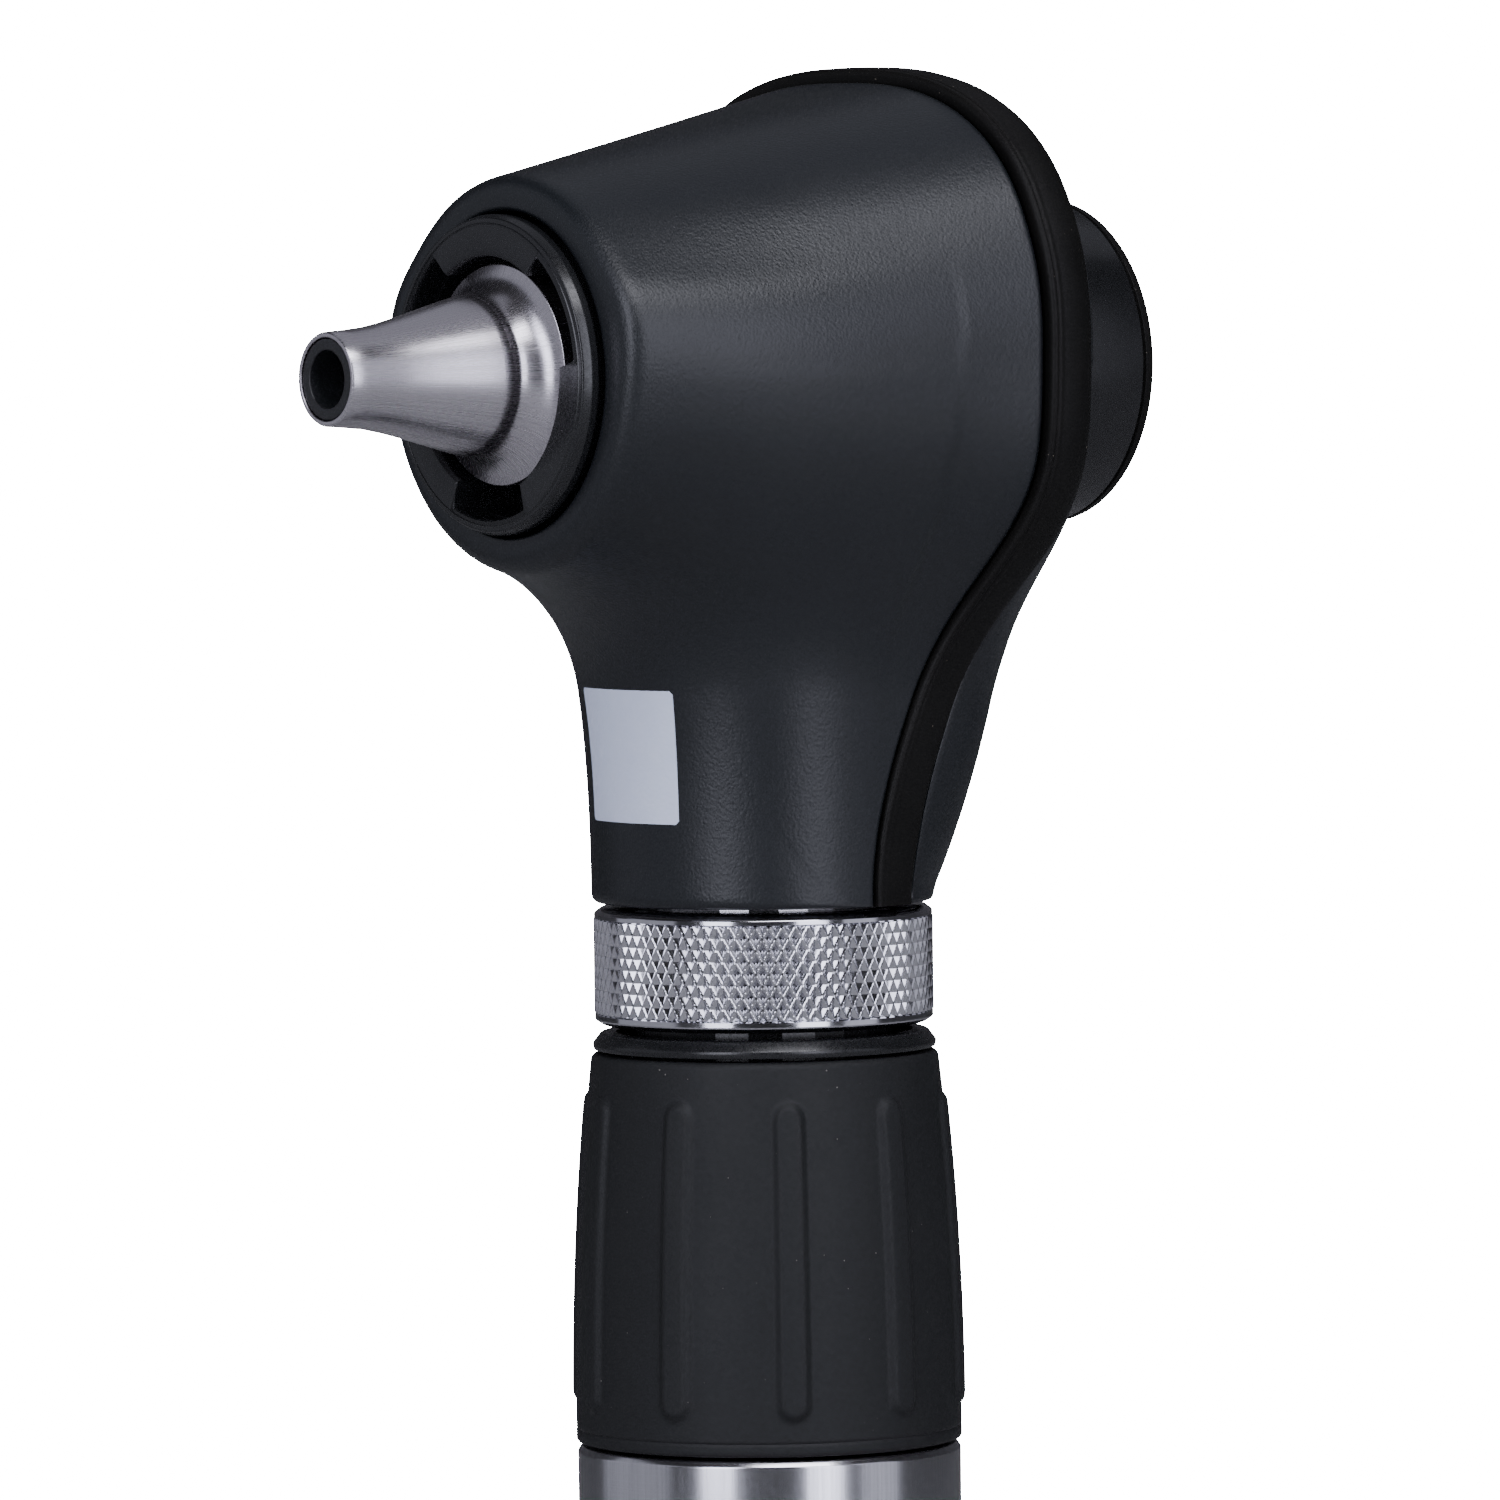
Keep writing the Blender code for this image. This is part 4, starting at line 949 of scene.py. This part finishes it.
def rib_height(angle, z):
    """The raised ribs: long bars with round ends and soft sides."""
    low, high = GRIP_LOW[2] + 2.9, GRIP_HIGH[2] - 3.2
    pitch = 2.0 * math.pi / RIB_COUNT
    away = (angle - RIB_PHASE + 0.5 * pitch) % pitch - 0.5 * pitch
    across = np.abs(away) * GRIP_WIDE_R
    beyond = np.maximum(np.maximum(low + RIB_HALF_WIDTH - z, z - high + RIB_HALF_WIDTH), 0.0)
    edge = RIB_HALF_WIDTH - np.hypot(across, beyond)
    return RIB_RAISE * smooth_step(edge / 0.75 + 0.35)


def make_grip():
    """The rubber sleeve with its ten ribs and the fine moulding line near its foot."""
    low, high = GRIP_LOW[2], GRIP_HIGH[2]
    angle = full_turn(600)
    top = high - np.array([0.0, 0.03, 0.1, 0.2, 0.35, 0.5])
    body = np.linspace(high - 0.7, low + 1.3, 130)
    foot = low + np.array([1.14, 1.07, 1.0, 0.93, 0.8, 0.5, 0.2, 0.06, 0.0])
    levels = np.concatenate([top, body, foot])
    line = 0.09 * np.exp(-((levels - low - 1.04) / 0.07) ** 2)
    end = 0.25 * (1.0 - np.sqrt(1.0 - np.clip((0.25 - (levels - low)) / 0.25, 0.0, 1.0) ** 2))
    rings = [(grip_radius(z) - cut + rib_height(angle, z), z)
             for z, cut in zip(levels, line + end)]
    inside = [(GRIP_WIDE_R - 1.5, low), (GRIP_WIDE_R - 2.6, 0.5 * (low + high)), (12.2, high)]
    mesh = ring_mesh("grip", angle, rings + inside + rings[:1])
    finish_piece("grip", mesh, "grip_rubber", "handle", ["grip_sleeve"], sharp=50.0)


def make_tube():
    """The bright battery tube, which steps in under the grip."""
    low, high, radius = TUBE_LOW[2], TUBE_HIGH[2], TUBE_HIGH[0]
    profile = [(11.9, high, 0.3), (11.9, TUBE_SHOULDER + 0.1, 0.2),
               (radius - 0.35, TUBE_SHOULDER, 0.2), (radius, TUBE_SHOULDER - 0.5, 0.3),
               (radius, low + 0.4, 0.3), (radius - 0.4, low), (14.0, low),
               (14.0, TUBE_SHOULDER - 2.5), (11.4, TUBE_SHOULDER - 2.5), (11.4, high)]
    lathe("battery_tube", profile, "tube_nickel", "handle", ["handle_tube"], steps=160)


def make_flange():
    """The thin glossy flange on top of the grip."""
    low, high = box_mm("grip_flange")
    radius = high[0]
    profile = [(radius - 0.7, high[2], 0.4), (radius, low[2] + 0.5, 0.4),
               (radius - 0.1, low[2], 0.1), (12.0, low[2]), (12.0, high[2])]
    lathe("flange", profile, "gloss_plastic", "handle", ["grip_flange"], steps=160)


def make_cap():
    """The base cap, with a turned groove and a well rounded foot."""
    radius, top = CAP_HIGH[0], CAP_HIGH[2]
    profile = [(0.0, top - 1.6), (12.0, top - 1.6), (12.8, top - 1.0), (13.2, top),
               (13.6, top, 0.1), (13.6, CAP_RIM_Z), (15.2, CAP_RIM_Z, 0.1),
               (radius, CAP_RIM_Z - 0.3, 0.2), (radius, 8.2), (15.2, 7.9, 0.2), (15.2, 7.5, 0.2),
               (radius, 7.2), (radius, 1.6, 1.5), (14.3, 0.0, 0.8), (0.0, 0.0)]
    lathe("cap", profile, "gloss_plastic", "cap", ["base_cap"], steps=160, closed=False)


# ---------------------------------------------------------------- stage, light and camera

def paper():
    """Bright paper for the eye, which throws little light back onto the object."""
    shader = Shader("floor_paper", (0.90, 0.90, 0.90), 0.9)
    shader.surface.inputs["Emission Color"].default_value = (1.0, 1.0, 1.0, 1.0)
    shader.surface.inputs["Emission Strength"].default_value = PAPER_GLOW
    dim = shader.node("BsdfDiffuse", {"Color": (PAPER_DIM, PAPER_DIM, PAPER_DIM, 1.0)})
    eye = shader.node("LightPath", {}).outputs["Is Camera Ray"]
    mixed = shader.node("MixShader", {0: eye, 1: dim.outputs[0], 2: shader.surface.outputs[0]})
    output = shader.tree.nodes["Material Output"]
    shader.tree.links.new(mixed.outputs[0], output.inputs["Surface"])
    return shader.material


def make_stage():
    """A wide pale floor whose edge curves up all round, so that no horizon shows."""
    bm = bmesh.new()
    profile = [(0.0, 0.0), (STAGE_FLAT, 0.0)]
    profile += [(STAGE_FLAT + STAGE_CURVE * math.sin(t), STAGE_CURVE - STAGE_CURVE * math.cos(t))
                for t in np.linspace(0.1, 0.5 * math.pi, 16)]
    profile.append((STAGE_FLAT + STAGE_CURVE, STAGE_TOP))
    points = [bm.verts.new((radius, 0.0, height - 0.0002)) for radius, height in profile]
    for start, end in zip(points, points[1:]):
        bm.edges.new((start, end))
    bmesh.ops.spin(bm, geom=bm.verts[:] + bm.edges[:], cent=(0, 0, 0), axis=(0, 0, 1),
                   angle=2.0 * math.pi, steps=96, use_merge=True)
    bmesh.ops.remove_doubles(bm, verts=bm.verts, dist=1e-5)
    mesh = bpy.data.meshes.new("floor")
    bm.to_mesh(mesh)
    bm.free()
    mesh.shade_smooth()
    floor = bpy.data.objects.new("floor", mesh)
    bpy.context.scene.collection.objects.link(floor)
    mesh.materials.append(paper())


def camera_axes():
    """The camera's right, up and backward directions."""
    back = Vector((math.sin(CAMERA_AZIMUTH) * math.cos(CAMERA_ELEVATION),
                   -math.cos(CAMERA_AZIMUTH) * math.cos(CAMERA_ELEVATION),
                   math.sin(CAMERA_ELEVATION)))
    right = Vector((math.cos(CAMERA_AZIMUTH), math.sin(CAMERA_AZIMUTH), 0.0))
    return right, back.cross(right), back


def make_camera():
    """The photograph's long lens, rolled by a fraction of a degree."""
    right, up, back = camera_axes()
    turn = Matrix.Rotation(-CAMERA_ROLL, 3, back)
    aim = Vector(CAMERA_TARGET) + right * CAMERA_ASIDE
    data = bpy.data.cameras.new("camera")
    data.lens = CAMERA_LENS
    data.sensor_width = 36.0
    data.clip_end = 50.0
    camera = bpy.data.objects.new("camera", data)
    place = Matrix([turn @ right, turn @ up, back]).transposed().to_4x4()
    place.translation = (aim + back * CAMERA_DISTANCE) * MM
    camera.matrix_world = place
    bpy.context.scene.collection.objects.link(camera)
    bpy.context.scene.camera = camera


def softbox(name, aside, above, towards, width, height, power, colour):
    """An area light placed by the camera's axes, in metres from the head, and aimed at it."""
    right, _, back = camera_axes()
    target = Vector((0.0, 0.0, 0.175))
    place = target + right * aside + Vector((0.0, 0.0, above)) + back * towards
    data = bpy.data.lights.new(name, "AREA")
    data.shape = "RECTANGLE"
    data.size = width
    data.size_y = height
    data.energy = power
    data.color = colour
    light = bpy.data.objects.new(name, data)
    light.location = place
    light.rotation_euler = (place - target).to_track_quat("Z", "Y").to_euler()
    bpy.context.scene.collection.objects.link(light)


def make_lights():
    """Soft studio light: a white box each side of the camera, dim panels beyond, one overhead."""
    lavender = (0.85, 0.86, 1.0)
    # name, place (aside, above, towards the camera), width, height, watts, colour
    softbox("light_top", 0.25, 0.95, 0.65, 0.8, 0.4, 8.0, (0.92, 0.92, 1.0))
    softbox("light_top_dim", 0.2, 1.2, -0.5, 1.3, 1.2, 1.8, lavender)
    softbox("light_right", 0.55, 0.15, 0.84, 0.4, 1.0, 5.5, lavender)
    softbox("light_left", -0.52, 0.3, 0.86, 0.4, 1.0, 7.0, lavender)
    softbox("light_right_dim", 0.93, 0.15, 0.35, 0.5, 1.2, 1.4, lavender)
    softbox("light_left_dim", -1.0, 0.15, 0.0, 1.1, 1.2, 1.6, lavender)
    world = bpy.data.worlds.new("studio")
    world.use_nodes = True
    background = world.node_tree.nodes["Background"]
    background.inputs["Color"].default_value = (0.95, 0.95, 1.0, 1.0)
    background.inputs["Strength"].default_value = 0.03
    bpy.context.scene.world = world


def dress_cad_nodes():
    """Give each CAD node that stays in view the detailed material of its slot."""
    for entry in frame["record"]["subparts"]:
        node = frame["nodes"][entry["node"]]
        node.data.materials.clear()
        node.data.materials.append(MATERIAL[entry["material_slot"]])


dress_cad_nodes()
make_front_shell()
make_bumper()
make_rear_cover()
make_rear_panel()
make_label()
make_cone()
make_light_guide()
make_collar()
make_eyepiece()
make_port()
make_knurled_ring()
make_button()
make_grip()
make_tube()
make_flange()
make_cap()
make_stage()
make_camera()
make_lights()
